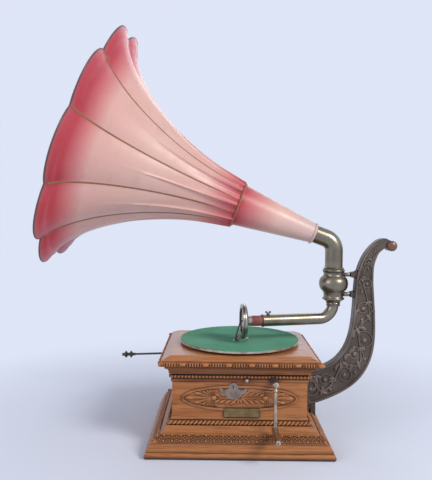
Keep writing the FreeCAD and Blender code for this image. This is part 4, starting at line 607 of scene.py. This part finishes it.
# along the web from the flange, as a share of its length, and the side that the volute lies on
VOLUTES = ((0.05, 1), (0.17, -1), (0.29, 1), (0.41, -1), (0.52, 1), (0.63, -1), (0.74, 1), (0.84, -1))
# a volute's points, the turn from one to the next, and the number of points that would take it to its middle
VOLUTE_POINTS = 15
VOLUTE_TURN = math.radians(30)
VOLUTE_END = 19
# the rest are shares of the web's half width: where a volute's middle lies, how far it reaches, its eye
VOLUTE_PLACE = 0.18
VOLUTE_REACH = 0.54
VOLUTE_EYE = 0.30
# a leaf's lean in radians and its foot's place along the web, on the stem's side and on the volute's
STEM_LEAVES = ((-0.55, -0.42), (-0.1, -0.05), (0.45, 0.35))
VOLUTE_LEAVES = ((0.9, 0.62), (-0.9, -0.62))
STEM_LEAF_FOOT = 0.22
VOLUTE_LEAF_FOOT = 0.12
LEAF_WIDTHS = (0.20, 0.27, 0.24, 0.14)
LEAF_STEP = 0.10
LEAF_PART = 0.25
LEAF_HEIGHT = 0.0052
EYE_HEIGHT = 0.006


def smooth_line(knots, steps):
    # A smooth line through the points, with the given number of steps between two of them.
    knots = [Vector(knot).to_3d() for knot in knots]
    knots = [2 * knots[0] - knots[1]] + knots + [2 * knots[-1] - knots[-2]]
    points = [knots[1]]
    for before, start, end, after in zip(knots, knots[1:], knots[2:], knots[3:]):
        leaving = start + (end - before) / 6
        arriving = end - (after - start) / 6
        points += interpolate_bezier(start, leaving, arriving, end, steps + 1)[1:]
    return points


def tube(bm, points, radii, parts=8, closed=False):
    # A round tube through the points, made of bridged rings.
    loops = []
    last = len(points) - 1
    for index, point in enumerate(points):
        before = points[index - 1] if closed or index else point
        after = points[(index + 1) % len(points)] if closed or index < last else point
        turn = (after - before).to_track_quat("Z", "Y").to_matrix().to_4x4()
        radius = radii[0] + (radii[1] - radii[0]) * index / last
        capped = not closed and index in (0, last)
        ring = bmesh.ops.create_circle(bm, segments=parts, radius=radius, cap_ends=capped,
                                       matrix=Matrix.Translation(point) @ turn)["verts"]
        loops.append(list({edge for corner in ring for edge in corner.link_edges}))
    for first, second in zip(loops, loops[1:] + (loops[:1] if closed else [])):
        bmesh.ops.bridge_loops(bm, edges=first + second)


def on_face(point, side):
    return Vector((point.x, side * BRACKET_FACE, point.y))


def web_place(share):
    # The middle of the web, half its width and the direction along it.
    index = share * (len(web_inside) - 1)
    low = min(int(index), len(web_inside) - 2)
    inner = web_inside[low].lerp(web_inside[low + 1], index - low)
    outer = web_outside[low].lerp(web_outside[low + 1], index - low)
    across = outer - inner
    return (inner + outer) / 2, across / 2, Vector((-across.y, across.x, 0.0)).normalized()


def volute(share, hand):
    # Points of a spiral that winds inwards, from the stem's side of the web.
    middle, half, _ = web_place(share)
    out = half.normalized() * hand
    centre = middle + half * hand * VOLUTE_PLACE
    points = []
    for step in range(VOLUTE_POINTS):
        turn = VOLUTE_TURN * step * hand
        reach = half.length * VOLUTE_REACH * (1.0 - step / VOLUTE_END)
        points.append(centre + Matrix.Rotation(-turn, 3, "Z") @ (-out) * reach)
    return points


def on_web(point):
    # True where the point lies well inside the raised borders.
    middle, half, _ = min(web_lines, key=lambda place: (place[0] - point).length)
    return (point - middle).length < half.length * WEB_SHARE - WEB_MARGIN


def leaf(bm, foot, towards, lean, size, side):
    # A pointed leaf that curves away from its foot, made of a row of lobes that ends where the web does.
    for step, width in enumerate(LEAF_WIDTHS):
        towards_now = Matrix.Rotation(lean * (0.6 + 0.4 * step), 3, "Z") @ towards
        foot = foot + towards_now * size * LEAF_STEP
        if not on_web(foot + towards_now * size * LEAF_STEP):
            break
        direction = (towards_now.x, 0, towards_now.y)
        lobe(bm, on_face(foot, side), direction, (0, side, 0), (size * LEAF_PART, size * width, LEAF_HEIGHT))


iron_raised = iron_material("iron_raised", RAISED_DARK, RAISED_LIGHT, 0.38)
iron_copper_highlight = iron_material("iron_copper_highlight", CURL_HIGHLIGHT_DARK, CURL_HIGHLIGHT_LIGHT, 0.30)
paint(iron, "bracket")

web_inside = smooth_line(BRACKET_INSIDE, 6)
web_outside = smooth_line(BRACKET_OUTSIDE, 6)
web_lines = [web_place(number / WEB_PARTS) for number in range(WEB_PARTS + 1)]
bm = bmesh.new()
for side in (-1, 1):
    for edge, step in ((web_inside, 1), (web_outside, -1)):
        inset = []
        for before, point, after in zip([edge[0]] + edge, edge, edge[1:] + [edge[-1]]):
            along = (after - before).normalized()
            inset.append(on_face(point + Vector((along.y, -along.x, 0.0)) * step * BORDER_INSET, side))
        tube(bm, inset, (BORDER_RADIUS, BORDER_RADIUS))
    stem = []
    for number in range(VINE_PARTS + 1):
        middle, half, _ = web_place(0.01 + 0.95 * number / VINE_PARTS)
        swing = math.sin(2 * math.pi * (number / VINE_PARTS * VINE_WAVES + VINE_START))
        stem.append(on_face(middle - half * VINE_SWING * swing, side))
    tube(bm, stem, (VINE_RADIUS * 1.25, VINE_RADIUS * 0.7), parts=6)
    for share, hand in VOLUTES:
        middle, half, along = web_place(share)
        size = half.length
        towards = half.normalized() * hand
        spiral = [on_face(point, side) for point in volute(share, hand)]
        tube(bm, spiral, (VINE_RADIUS, VINE_RADIUS * 0.75), parts=6)
        lobe(bm, on_face(middle + half * hand * VOLUTE_PLACE, side), (1, 0, 0), (0, side, 0),
             (size * VOLUTE_EYE, size * VOLUTE_EYE, EYE_HEIGHT))
        for lean, start in STEM_LEAVES:
            foot = middle - half * hand * STEM_LEAF_FOOT + along * size * start
            leaf(bm, foot, -towards, lean, size, side)
        for lean, start in VOLUTE_LEAVES:
            foot = middle + half * hand * VOLUTE_LEAF_FOOT + along * size * start
            leaf(bm, foot, towards, lean, size, side)
finish("bracket_relief", bm, iron_raised, "case")

bm = bmesh.new()
for side in (-1, 1):
    dome = Matrix.Translation((CURL_PLACE[0], side * CURL_FACE, CURL_PLACE[2])) @ Matrix.Diagonal(
        (CURL_DOME[0], CURL_DOME[1], CURL_DOME[0], 1.0))
    bmesh.ops.create_uvsphere(bm, u_segments=24, v_segments=12, radius=1.0, matrix=dome)
finish("bracket_curl", bm, iron_copper_highlight, "case")


# Swivel bulb: turned from cast brass and nickelled, hollow, with two lugs that reach the bracket. Its two
# collars and the bulge between them show the wear of a century.
SWIVEL_X = 0.2042
LUG_START = 0.0195
LUG_END = 0.2400
LUG_HALF_WIDTH = 0.0060
LUG_ROUNDING = 0.0034
# height of a lug, how thick it is, and where its foot stands on the bracket
LUGS = ((0.3393, 0.0086, 0.2525), (0.2970, 0.0096, 0.2490))
LUG_FOOT_PROFILE = ((0.0, 0.0), (0.0115, 0.0), (0.0088, 0.0026), (0.0072, 0.0056), (0.0064, 0.0095),
                    (0.0, 0.0095))
BULB_PROFILE = ((0.0124, 0.2793), (0.0152, 0.2793), (0.0165, 0.2818), (0.0205, 0.2846), (0.0232, 0.2862),
                (0.0238, 0.2876), (0.0232, 0.2890), (0.0214, 0.2900), (0.0208, 0.2925), (0.0208, 0.2975),
                (0.0218, 0.2992), (0.0216, 0.3008), (0.0238, 0.3035), (0.0280, 0.3080), (0.0302, 0.3130),
                (0.0310, 0.3195), (0.0304, 0.3260), (0.0280, 0.3315), (0.0240, 0.3352), (0.0216, 0.3372),
                (0.0212, 0.3405), (0.0214, 0.3432), (0.0226, 0.3440), (0.0228, 0.3454), (0.0218, 0.3460),
                (0.0169, 0.3460), (0.0169, 0.3360), (0.0286, 0.3240), (0.0286, 0.3160), (0.0156, 0.3030),
                (0.0124, 0.3000))


def join_in(bm, other, place=Matrix.Identity(4)):
    # Adds what another bmesh holds to this one, and frees it.
    mesh = bpy.data.meshes.new("spare")
    other.to_mesh(mesh)
    other.free()
    mesh.transform(place)
    bm.from_mesh(mesh)
    bpy.data.meshes.remove(mesh)


def spun(bm, profile, place, parts=48):
    # A turned solid from the corners of its half section, (radius, height).
    turned = bmesh.new()
    corners = [turned.verts.new((radius, 0.0, height)) for radius, height in profile]
    edges = [turned.edges.new(pair) for pair in zip(corners, corners[1:] + corners[:1])]
    bmesh.ops.spin(turned, geom=corners + edges, cent=(0, 0, 0), axis=(0, 0, 1), angle=2 * math.pi,
                   steps=parts, use_merge=True)
    bmesh.ops.remove_doubles(turned, verts=turned.verts, dist=0.000001)
    bmesh.ops.recalc_face_normals(turned, faces=turned.faces)
    join_in(bm, turned, place)


def block(bm, low, high, round_off):
    # A box with rounded edges between two corners.
    low, high = Vector(low), Vector(high)
    matrix = Matrix.Translation((low + high) / 2) @ Matrix.Diagonal((*(high - low), 1.0))
    cube = bmesh.ops.create_cube(bm, size=1.0, matrix=matrix)["verts"]
    edges = list({edge for corner in cube for edge in corner.link_edges})
    bmesh.ops.bevel(bm, geom=edges, offset=round_off, segments=3, affect="EDGES", profile=0.5, material=-1)


swivel_place = Matrix.Translation((SWIVEL_X, 0.0, 0.0))
bm = bmesh.new()
spun(bm, BULB_PROFILE, swivel_place, 64)
for z, thick, _ in LUGS:
    low = (SWIVEL_X + LUG_START, -LUG_HALF_WIDTH, z - thick / 2)
    block(bm, low, (LUG_END, LUG_HALF_WIDTH, z + thick / 2), LUG_ROUNDING)
finish("swivel", bm, nickel, "case", replaces=("swivel_bulb",), crease=50)

bm = bmesh.new()
for z, _, foot in LUGS:
    lying = Matrix.Translation((foot, 0.0, z)) @ Matrix.Rotation(math.radians(-90), 4, "Y")
    spun(bm, LUG_FOOT_PROFILE, lying, 24)
finish("lug_feet", bm, iron, "case", crease=50)


# Elbow: bent brass tube with a turned flange, nickelled. It drops into the bulb, where it turns with the
# horn, and the horn's neck is pushed over its other end.
HORN_TILT = math.radians(20.46)
HORN_CORNER = Vector((SWIVEL_X, 0.0, 0.4106))
ELBOW_RADIUS = 0.0190
ELBOW_BORE = 0.0152
ELBOW_BEND = 0.0290
ELBOW_REACH = 0.0703
ELBOW_FOOT = 0.3464
FLANGE_PROFILE = ((0.0153, 0.3370), (0.0168, 0.3370), (0.0168, 0.3464), (0.0230, 0.3464), (0.0240, 0.3474),
                  (0.0240, 0.3490), (0.0228, 0.3502), (0.0214, 0.3508), (0.0214, 0.3522), (0.0222, 0.3530),
                  (0.0214, 0.3540), (0.0200, 0.3546), (0.0188, 0.3552), (0.0153, 0.3552))
BEND_PARTS = 16
PIPE_PARTS = 40

horn_axis = Vector((-math.cos(HORN_TILT), 0.0, math.sin(HORN_TILT)))


def bent_line(corner, down, along, bend, low_end, far_end):
    # Points down one leg's end, round the bend and out to the other leg's end.
    turn = math.pi - down.angle(along)
    cut_back = bend * math.tan(turn / 2)
    centre = corner + (down + along).normalized() * (bend / math.cos(turn / 2))
    start = corner + down * cut_back
    axis = (start - centre).cross(corner - centre).normalized()
    foot = corner + down * low_end
    line = [foot, start.lerp(foot, 0.02)]
    for step in range(1, BEND_PARTS + 1):
        line.append(centre + Matrix.Rotation(turn * step / BEND_PARTS, 3, axis) @ (start - centre))
    return line + [corner + along * far_end]


def pipe(bm, line, radius, bore):
    # A tube with a wall: both skins are swept along the line and joined at the ends.
    ends = []
    for reach in (radius, bore):
        skin = bmesh.new()
        tube(skin, line, (reach, reach), PIPE_PARTS)
        caps = [face for face in skin.faces if len(face.verts) > 4]
        bmesh.ops.delete(skin, geom=caps, context="FACES_ONLY")
        before = len(bm.edges)
        join_in(bm, skin)
        bm.edges.ensure_lookup_table()
        ends.append([edge for edge in bm.edges[before:] if edge.is_boundary])
    for point in (line[0], line[-1]):
        near = [edge for skin in ends for edge in skin if (edge.verts[0].co - point).length < radius * 1.2]
        bmesh.ops.bridge_loops(bm, edges=near)


bm = bmesh.new()
elbow_line = bent_line(HORN_CORNER, Vector((0, 0, -1)), horn_axis, ELBOW_BEND, HORN_CORNER.z - ELBOW_FOOT,
                       ELBOW_REACH)
pipe(bm, elbow_line, ELBOW_RADIUS, ELBOW_BORE)
spun(bm, FLANGE_PROFILE, swivel_place)
finish("elbow", bm, nickel, "horn", replaces=("horn_elbow",), crease=50)


# Tone arm: bent nickelled tube that turns in the bulb, with a collar under it, a ferrule at the open end and
# a boss for the small wing screw.
ARM_Z = 0.2445
ARM_TOP = 0.299
ARM_YAW = math.radians(14.0)
ARM_RADIUS = 0.0122
ARM_BORE = 0.0107
ARM_LENGTH = 0.1615
ARM_BEND = 0.0320
FERRULE_LENGTH = 0.0040
WING_SCREW_S = 0.1476
COLLAR_PROFILE = ((0.0108, 0.2718), (0.0146, 0.2718), (0.0152, 0.2726), (0.0152, 0.2740), (0.0140, 0.2750),
                  (0.0140, 0.2760), (0.0152, 0.2770), (0.0152, 0.2784), (0.0144, 0.2791), (0.0108, 0.2791))
FERRULE_PROFILE = ((0.0108, 0.0), (0.0128, 0.0), (0.0132, 0.0006), (0.0132, 0.0036), (0.0128, 0.0040),
                   (0.0108, 0.0040))
BOSS_PROFILE = ((0.0019, 0.0105), (0.0040, 0.0105), (0.0040, 0.0130), (0.0034, 0.0134), (0.0019, 0.0134))

arm_along = Vector((-math.cos(ARM_YAW), -math.sin(ARM_YAW), 0.0))
arm_corner = Vector((SWIVEL_X, 0.0, ARM_Z))


def facing(place, along):
    # Placement that turns +Z to the given direction.
    return Matrix.Translation(place) @ along.to_track_quat("Z", "Y").to_matrix().to_4x4()


bm = bmesh.new()
arm_line = bent_line(arm_corner, Vector((0, 0, 1)), arm_along, ARM_BEND, ARM_TOP - ARM_Z, ARM_LENGTH)
pipe(bm, arm_line, ARM_RADIUS, ARM_BORE)
spun(bm, COLLAR_PROFILE, swivel_place)
spun(bm, FERRULE_PROFILE, facing(arm_corner + arm_along * (ARM_LENGTH - FERRULE_LENGTH), arm_along))
spun(bm, BOSS_PROFILE, facing(arm_corner + arm_along * WING_SCREW_S, Vector((0, 0, 1))), 24)
finish("arm", bm, nickel, "arm", replaces=("tone_arm",), crease=50)
paint(pewter, "wing_screw")


# Sound box: a nickelled cup with a knurled ring round its mica disc, on a stem in the red rubber sleeve. Two
# ears carry the stylus bar, which holds the steel needle with a thumb screw.
BOX_YAW = math.radians(5.0)
SLEEVE_LENGTH = 0.0220
SOUND_BOX_BACK = 0.0220
BOX_PROFILE = ((0.0068, -0.0195), (0.0081, -0.0195), (0.0081, -0.0110), (0.0107, -0.0110), (0.0107, -0.0030),
               (0.0125, -0.0018), (0.0300, -0.0004), (0.0335, 0.0010), (0.0352, 0.0032), (0.0358, 0.0048),
               (0.0358, 0.0066), (0.0346, 0.0074), (0.0356, 0.0082), (0.0358, 0.0092), (0.0346, 0.0106),
               (0.0330, 0.0110), (0.0285, 0.0108), (0.0276, 0.0102), (0.0275, 0.0088), (0.0301, 0.0088),
               (0.0301, 0.0066), (0.0275, 0.0066), (0.0275, 0.0022), (0.0068, 0.0022))
STYLUS_DROP = Vector((0, 0, -0.0358))
EAR_PLACE = 0.0048
EAR_THICK = 0.0020
# ahead of the cup's back and above the stylus bar
EAR_OUTLINE = ((0.0095, 0.0070), (0.0095, 0.0010), (0.0140, -0.0015), (0.0200, -0.0025), (0.0200, 0.0025),
               (0.0140, 0.0070))
MICA_DARK = (0.012, 0.012, 0.011, 1.0)
MICA_LIGHT = (0.05, 0.047, 0.04, 1.0)

box_along = Vector((-math.cos(BOX_YAW), -math.sin(BOX_YAW), 0.0))
box_across = Vector((math.sin(BOX_YAW), -math.cos(BOX_YAW), 0.0))
box_back = arm_corner + arm_along * (ARM_LENGTH + SLEEVE_LENGTH / 2) + box_along * SOUND_BOX_BACK


def mica_material():
    material, tree, shader = new_material("mica", 0.16)
    flakes = cloud(tree, object_point(tree), 160.0, 5.0, 0.6)
    feed(tree, ramp(tree, flakes, [(0.35, MICA_DARK), (0.70, MICA_LIGHT)]), shader.inputs["Base Color"])
    return material


bm = bmesh.new()
spun(bm, BOX_PROFILE, facing(box_back, box_along), 64)
for side in (-1, 1):
    foot = box_back + STYLUS_DROP + box_across * side * EAR_PLACE
    ear = [foot + box_along * ahead + Vector((0, 0, rise)) for ahead, rise in EAR_OUTLINE]
    face = bm.faces.new([bm.verts.new(point - box_across * EAR_THICK / 2) for point in ear])
    moved = bmesh.ops.extrude_face_region(bm, geom=[face])["geom"]
    moved = [item for item in moved if isinstance(item, bmesh.types.BMVert)]
    bmesh.ops.translate(bm, verts=moved, vec=box_across * EAR_THICK)
finish("soundbox", bm, dull_nickel, "reproducer", replaces=("sound_box",), crease=40)
paint(mica_material(), "diaphragm")
paint(rubber, "arm_sleeve")
paint(worn_nickel, "needle_screw")
paint(steel, "needle")


# Horn: ten petals of thin sheet steel, folded together along their edges and each stiffened by a pressed
# ridge, with the mouth's edge rolled over a wire. Enamelled pink, with red airbrushed behind the rim and
# round the collar. The mouth looks to -X and upwards.
NECK_START = 0.0453
NECK_LENGTH = 0.1765
PETALS = 10
PETAL_PARTS = 16
SEAM_START = math.radians(12.0)
SHEET_THICK = 0.0012
# pressed into each petal: a ridge along its middle, a flute on each side of it and the curl of its tip, with
# the two shares of the bell's length between which each one fades out, or the curl sets in
RIDGE_HEIGHT = 0.0030
RIDGE_FADE = (0.35, 0.82)
FLUTE_DEPTH = 0.0020
FLUTE_FADE = (0.05, 0.5)
PETAL_CURL = 0.0030
CURL_RISE = (0.80, 1.0)
# a low line is embossed along the rim, outwards and back, on the fourth ring of corners from the edge, and a
# painted one lies on the third; the corners of a ring crowd towards the middle of each petal
EMBOSS_HEIGHT = 0.0015
EMBOSS_WAY = (0.6, 0.8)
EMBOSS_RING = -4
LINE_RING = -3
CROWDING = 1.3
SEAM_RADIUS = 0.0027
RIM_RADIUS = 0.0017
LINE_RADIUS = 0.0013
# distance from the collar, radius at a seam, radius at the middle of a petal
BELL_STATIONS = ((0.0, 0.0456, 0.0456), (0.073, 0.0606, 0.0614), (0.127, 0.0772, 0.0792),
                 (0.176, 0.098, 0.1016), (0.222, 0.1225, 0.128), (0.265, 0.1505, 0.1585),
                 (0.301, 0.1810, 0.1925), (0.325, 0.2085, 0.225), (0.3395, 0.2330, 0.261))
STEPS_PER_STATION = 6
BELL_LENGTH = BELL_STATIONS[-1][0]
HORN_LENGTH = NECK_LENGTH + BELL_LENGTH
# distance from the horn's small end, radius of the bead's ring and radius of its wire
NECK_BEAD = (0.0032, 0.0212, 0.0026)
COLLAR_BEAD = (NECK_LENGTH - 0.0010, 0.0474, 0.0021)
WIRE_PARTS = 12
PINK = (0.68, 0.385, 0.335, 1.0)
PALE_PINK = (0.70, 0.44, 0.375, 1.0)
CREAM_PINK = (0.62, 0.440, 0.405, 1.0)
RED = (0.46, 0.046, 0.062, 1.0)
ROSE = (0.56, 0.155, 0.160, 1.0)
DULL_RED = (0.40, 0.095, 0.115, 1.0)
SEAM_PAINT = (0.27, 0.130, 0.068, 1.0)
EDGE_PAINT = (0.13, 0.062, 0.058, 1.0)
LINE_PAINT = (0.30, 0.055, 0.068, 1.0)

horn_side = Vector((0.0, -1.0, 0.0))
neck_end = HORN_CORNER + horn_axis * NECK_START
horn_place = Matrix.Translation(neck_end) @ Matrix(
    (horn_side, horn_axis.cross(horn_side), horn_axis)).transposed().to_4x4()


def along_horn(tree, length):
    # 0 at the horn's small end, 1 at the given distance from it, measured on the horn's axis.
    shift = add(tree, "ShaderNodeVectorMath", operation="SUBTRACT")
    feed(tree, add(tree, "ShaderNodeTexCoord").outputs["Object"], shift.inputs[0])
    shift.inputs[1].default_value = neck_end
    project = add(tree, "ShaderNodeVectorMath", operation="DOT_PRODUCT")
    feed(tree, shift.outputs["Vector"], project.inputs[0])
    project.inputs[1].default_value = horn_axis / length
    return project.outputs["Value"]


def enamel(name, length, stops):
    material, tree, shader = new_material(name, 0.34)
    cloudy = cloud(tree, object_point(tree), 9.0, 3.0)
    wander = math_of(tree, "MULTIPLY_ADD", cloudy, 0.016, -0.008)
    colour = ramp(tree, math_of(tree, "ADD", along_horn(tree, length), wander), stops)
    stain = cloud(tree, object_point(tree, shift=(3, 1, 2)), 40.0, 6.0, 0.65)
    colour = mix(tree, 1.0, colour, shades(tree, stain, [(0.28, 0.92), (0.50, 1.0)]), "MULTIPLY")
    feed(tree, colour, shader.inputs["Base Color"])
    feed(tree, shades(tree, stain, [(0.3, 0.46), (0.7, 0.32)]), shader.inputs["Roughness"])
    bumpy(tree, shader, stain, 0.05, 0.0004)
    shader.inputs["Specular IOR Level"].default_value = 0.35
    shader.inputs["Coat Weight"].default_value = 0.1
    shader.inputs["Coat Roughness"].default_value = 0.3
    return material


def bell_line(column):
    # Smooth line through the stations, as points (distance, radius, 0).
    return smooth_line([(station[0], station[column], 0.0) for station in BELL_STATIONS], STEPS_PER_STATION)


def fading(value, start, end):
    # 1 up to the start, 0 from the end on, easing between them.
    share = min(max((value - start) / (end - start), 0.0), 1.0)
    return 1.0 - share * share * (3.0 - 2.0 * share)


def petal_point(distance, seam, middle, across, emboss):
    # across runs from -0.5 at one seam to 0.5 at the next; the result is (radius, distance on the axis).
    step = 2 * math.pi / PETALS
    rise = middle - seam * math.cos(step / 2)
    arc = ((seam * math.sin(step / 2)) ** 2 + rise ** 2) / (2 * rise)
    centre = middle - arc
    away = step * across
    radius = centre * math.cos(away) + math.sqrt(arc ** 2 - (centre * math.sin(away)) ** 2)
    share = distance / BELL_LENGTH
    radius -= FLUTE_DEPTH * math.sin(2 * math.pi * abs(across)) ** 2 * fading(share, *FLUTE_FADE)
    if abs(across) < 0.01:
        radius += RIDGE_HEIGHT * fading(share, *RIDGE_FADE)
    lobe_share = 1.0 - (2 * across) ** 2
    curl = PETAL_CURL * lobe_share * (1.0 - fading(share, *CURL_RISE))
    return radius + emboss * EMBOSS_WAY[0], distance - curl - emboss * EMBOSS_WAY[1]


def petal_ring(bm, index, seam_point, middle_point):
    # One ring of corners round the whole horn, closer together at each petal's middle.
    emboss = EMBOSS_HEIGHT if index == len(seam_line) + EMBOSS_RING else 0.0
    ring = bmesh.ops.create_circle(bm, segments=PETALS * PETAL_PARTS, radius=1.0)["verts"]
    edges = {edge for corner in ring for edge in corner.link_edges}
    for number, corner in enumerate(ring):
        petal, part = divmod(number, PETAL_PARTS)
        even = part / PETAL_PARTS - 0.5
        across = math.copysign(0.5 * abs(2 * even) ** CROWDING, even)
        radius, distance = petal_point(seam_point.x, seam_point.y, middle_point.y, across, emboss)
        turn = SEAM_START + (petal + 0.5 + across) * 2 * math.pi / PETALS
        around = Vector((radius * math.cos(turn), radius * math.sin(turn), NECK_LENGTH + distance))
        corner.co = horn_place @ around
    return list(edges), [corner.co.copy() for corner in ring]


def all_over(colour):
    # The same colour from end to end.
    return [(0.0, colour), (1.0, colour)]


bell_enamel = enamel("enamel_bell", HORN_LENGTH, [
    (0.335, RED), (0.395, ROSE), (0.49, PINK), (0.70, PALE_PINK), (0.895, PINK), (0.940, ROSE), (0.966, RED),
    (0.986, RED), (0.995, DULL_RED)])
neck_enamel = enamel("enamel_neck", NECK_LENGTH, [
    (0.05, CREAM_PINK), (0.50, PALE_PINK), (0.86, ROSE), (0.98, RED)])
seam_enamel = enamel("enamel_seam", HORN_LENGTH, [(0.35, ROSE), (0.5, SEAM_PAINT), (0.95, SEAM_PAINT)])
edge_enamel = enamel("enamel_edge", HORN_LENGTH, all_over(EDGE_PAINT))
collar_enamel = enamel("enamel_collar", HORN_LENGTH, all_over(SEAM_PAINT))
line_enamel = enamel("enamel_line", HORN_LENGTH, all_over(LINE_PAINT))
paint(neck_enamel, "horn_neck")

turns = [2 * math.pi * step / WIRE_PARTS for step in range(WIRE_PARTS)]
for name, (far, radius, thick), material in (("neck_bead", NECK_BEAD, neck_enamel),
                                             ("collar_bead", COLLAR_BEAD, collar_enamel)):
    bm = bmesh.new()
    wire = [(radius + thick * math.cos(turn), far + thick * math.sin(turn)) for turn in turns]
    spun(bm, wire, horn_place, 64)
    finish(name, bm, material, "horn")

seam_line = bell_line(1)
bm = bmesh.new()
rings = [petal_ring(bm, index, *pair) for index, pair in enumerate(zip(seam_line, bell_line(2)))]
for (first, _), (second, _) in zip(rings, rings[1:]):
    bmesh.ops.bridge_loops(bm, edges=first + second)
bmesh.ops.recalc_face_normals(bm, faces=bm.faces)
bmesh.ops.solidify(bm, geom=bm.faces[:], thickness=SHEET_THICK)
finish("bell", bm, bell_enamel, "horn", replaces=("horn_bell",))

bm = bmesh.new()
tube(bm, rings[-1][1], (RIM_RADIUS, RIM_RADIUS), closed=True)
finish("rim", bm, edge_enamel, "horn", replaces=("horn_rim",))
bm = bmesh.new()
tube(bm, rings[LINE_RING][1], (LINE_RADIUS, LINE_RADIUS), parts=6, closed=True)
finish("rim_line", bm, line_enamel, "horn")

bm = bmesh.new()
for petal in range(PETALS):
    line = [corners[petal * PETAL_PARTS] for _, corners in rings[1::2]]
    tube(bm, line, (SEAM_RADIUS * 0.8, SEAM_RADIUS * 1.15), parts=6)
finish("seams", bm, seam_enamel, "horn", replaces=("horn_seams",))


# Stage: a pale paper sweep, three large soft lamps and the camera at the photograph's place. The camera, the
# glossy rays and the clear ones see the plain pale background, and the rest see a dimmer glow.
BACKGROUND = (0.735, 0.785, 0.925, 1.0)
GLOW = (0.86, 0.90, 1.0, 1.0)
GLOW_STRENGTH = 0.36
PAPER = (0.74, 0.79, 0.925, 1.0)
PAPER_RADIUS = 30.0
# between these distances from the middle, the paper turns into the plain background
FADE_START = 0.26
FADE_END = 1.0

scene = bpy.context.scene
scene.view_settings.view_transform = "Standard"
world = bpy.data.worlds.new("studio")
scene.world = world
world.use_nodes = True
tree = world.node_tree
tree.nodes.clear()
seen = add(tree, "ShaderNodeBackground")
seen.inputs["Color"].default_value = BACKGROUND
glow = add(tree, "ShaderNodeBackground")
glow.inputs["Color"].default_value = GLOW
glow.inputs["Strength"].default_value = GLOW_STRENGTH
ray = add(tree, "ShaderNodeLightPath")
direct = math_of(tree, "MAXIMUM", ray.outputs["Is Camera Ray"], ray.outputs["Is Glossy Ray"])
direct = math_of(tree, "MAXIMUM", direct, ray.outputs["Is Transmission Ray"])
blend = add(tree, "ShaderNodeMixShader")
feed(tree, direct, blend.inputs[0])
feed(tree, glow.outputs[0], blend.inputs[1])
feed(tree, seen.outputs[0], blend.inputs[2])
feed(tree, blend.outputs[0], add(tree, "ShaderNodeOutputWorld").inputs[0])

floor_mesh = bpy.data.meshes.new("floor")
bm = bmesh.new()
bmesh.ops.create_circle(bm, cap_ends=True, segments=64, radius=PAPER_RADIUS)
bm.to_mesh(floor_mesh)
bm.free()
floor = bpy.data.objects.new("floor", floor_mesh)
scene.collection.objects.link(floor)
paper, tree, shader = new_material("paper", 0.9)
shader.inputs["Base Color"].default_value = PAPER
far = add(tree, "ShaderNodeEmission")
far.inputs["Color"].default_value = BACKGROUND
distance = add(tree, "ShaderNodeVectorMath", operation="LENGTH")
feed(tree, add(tree, "ShaderNodeTexCoord").outputs["Object"], distance.inputs[0])
fade = add(tree, "ShaderNodeMapRange", interpolation_type="SMOOTHSTEP")
fade.inputs["From Min"].default_value = FADE_START
fade.inputs["From Max"].default_value = FADE_END
feed(tree, distance.outputs["Value"], fade.inputs["Value"])
blend = add(tree, "ShaderNodeMixShader")
feed(tree, fade.outputs["Result"], blend.inputs[0])
feed(tree, shader.outputs[0], blend.inputs[1])
feed(tree, far.outputs[0], blend.inputs[2])
feed(tree, blend.outputs[0], tree.nodes["Material Output"].inputs["Surface"])
floor_mesh.materials.append(paper)


def lamp(name, place, aim, size, power, colour):
    # A soft round lamp, with its diameter in metres and its power in watts.
    data = bpy.data.lights.new(name, "AREA")
    data.shape = "DISK"
    data.size = size
    data.energy = power
    data.color = colour
    light = bpy.data.objects.new(name, data)
    light.location = place
    light.rotation_euler = (Vector(aim) - Vector(place)).to_track_quat("-Z", "Y").to_euler()
    scene.collection.objects.link(light)


lamp("key", (1.70, -1.50, 1.75), (0.0, 0.0, 0.3), 1.0, 49.0, (1.0, 0.97, 0.93))
lamp("fill", (-1.9, -1.4, 1.4), (-0.1, 0.0, 0.4), 1.6, 16.0, (0.95, 0.97, 1.0))
lamp("back", (0.3, 2.0, 1.6), (0.0, 0.0, 0.4), 1.4, 7.0, (1.0, 1.0, 1.0))

# where the photograph was taken from, in metres, how the camera was turned, in radians, and its focal length
# and the photograph's width, in pixels
CAMERA_PLACE = (-0.04117, -1.2200, 0.46283)
CAMERA_YAW = -0.0073
CAMERA_DOWN = 0.0423
CAMERA_ROLL = 0.0085
CAMERA_FOCAL = 566.76
PHOTO_WIDTH = 432

forward = Vector((math.sin(CAMERA_YAW) * math.cos(CAMERA_DOWN),
                  math.cos(CAMERA_YAW) * math.cos(CAMERA_DOWN),
                  -math.sin(CAMERA_DOWN)))
level = Vector((math.cos(CAMERA_YAW), -math.sin(CAMERA_YAW), 0.0))
above = level.cross(forward)
right = level * math.cos(CAMERA_ROLL) + above * math.sin(CAMERA_ROLL)
above = above * math.cos(CAMERA_ROLL) - level * math.sin(CAMERA_ROLL)
camera_data = bpy.data.cameras.new("camera")
camera_data.sensor_fit = "HORIZONTAL"
camera_data.angle = 2 * math.atan(PHOTO_WIDTH / 2 / CAMERA_FOCAL)
camera_data.clip_start = 0.01
camera = bpy.data.objects.new("camera", camera_data)
view = Matrix((right, above, -forward)).transposed().to_4x4()
camera.matrix_world = Matrix.Translation(CAMERA_PLACE) @ view
scene.collection.objects.link(camera)
scene.camera = camera
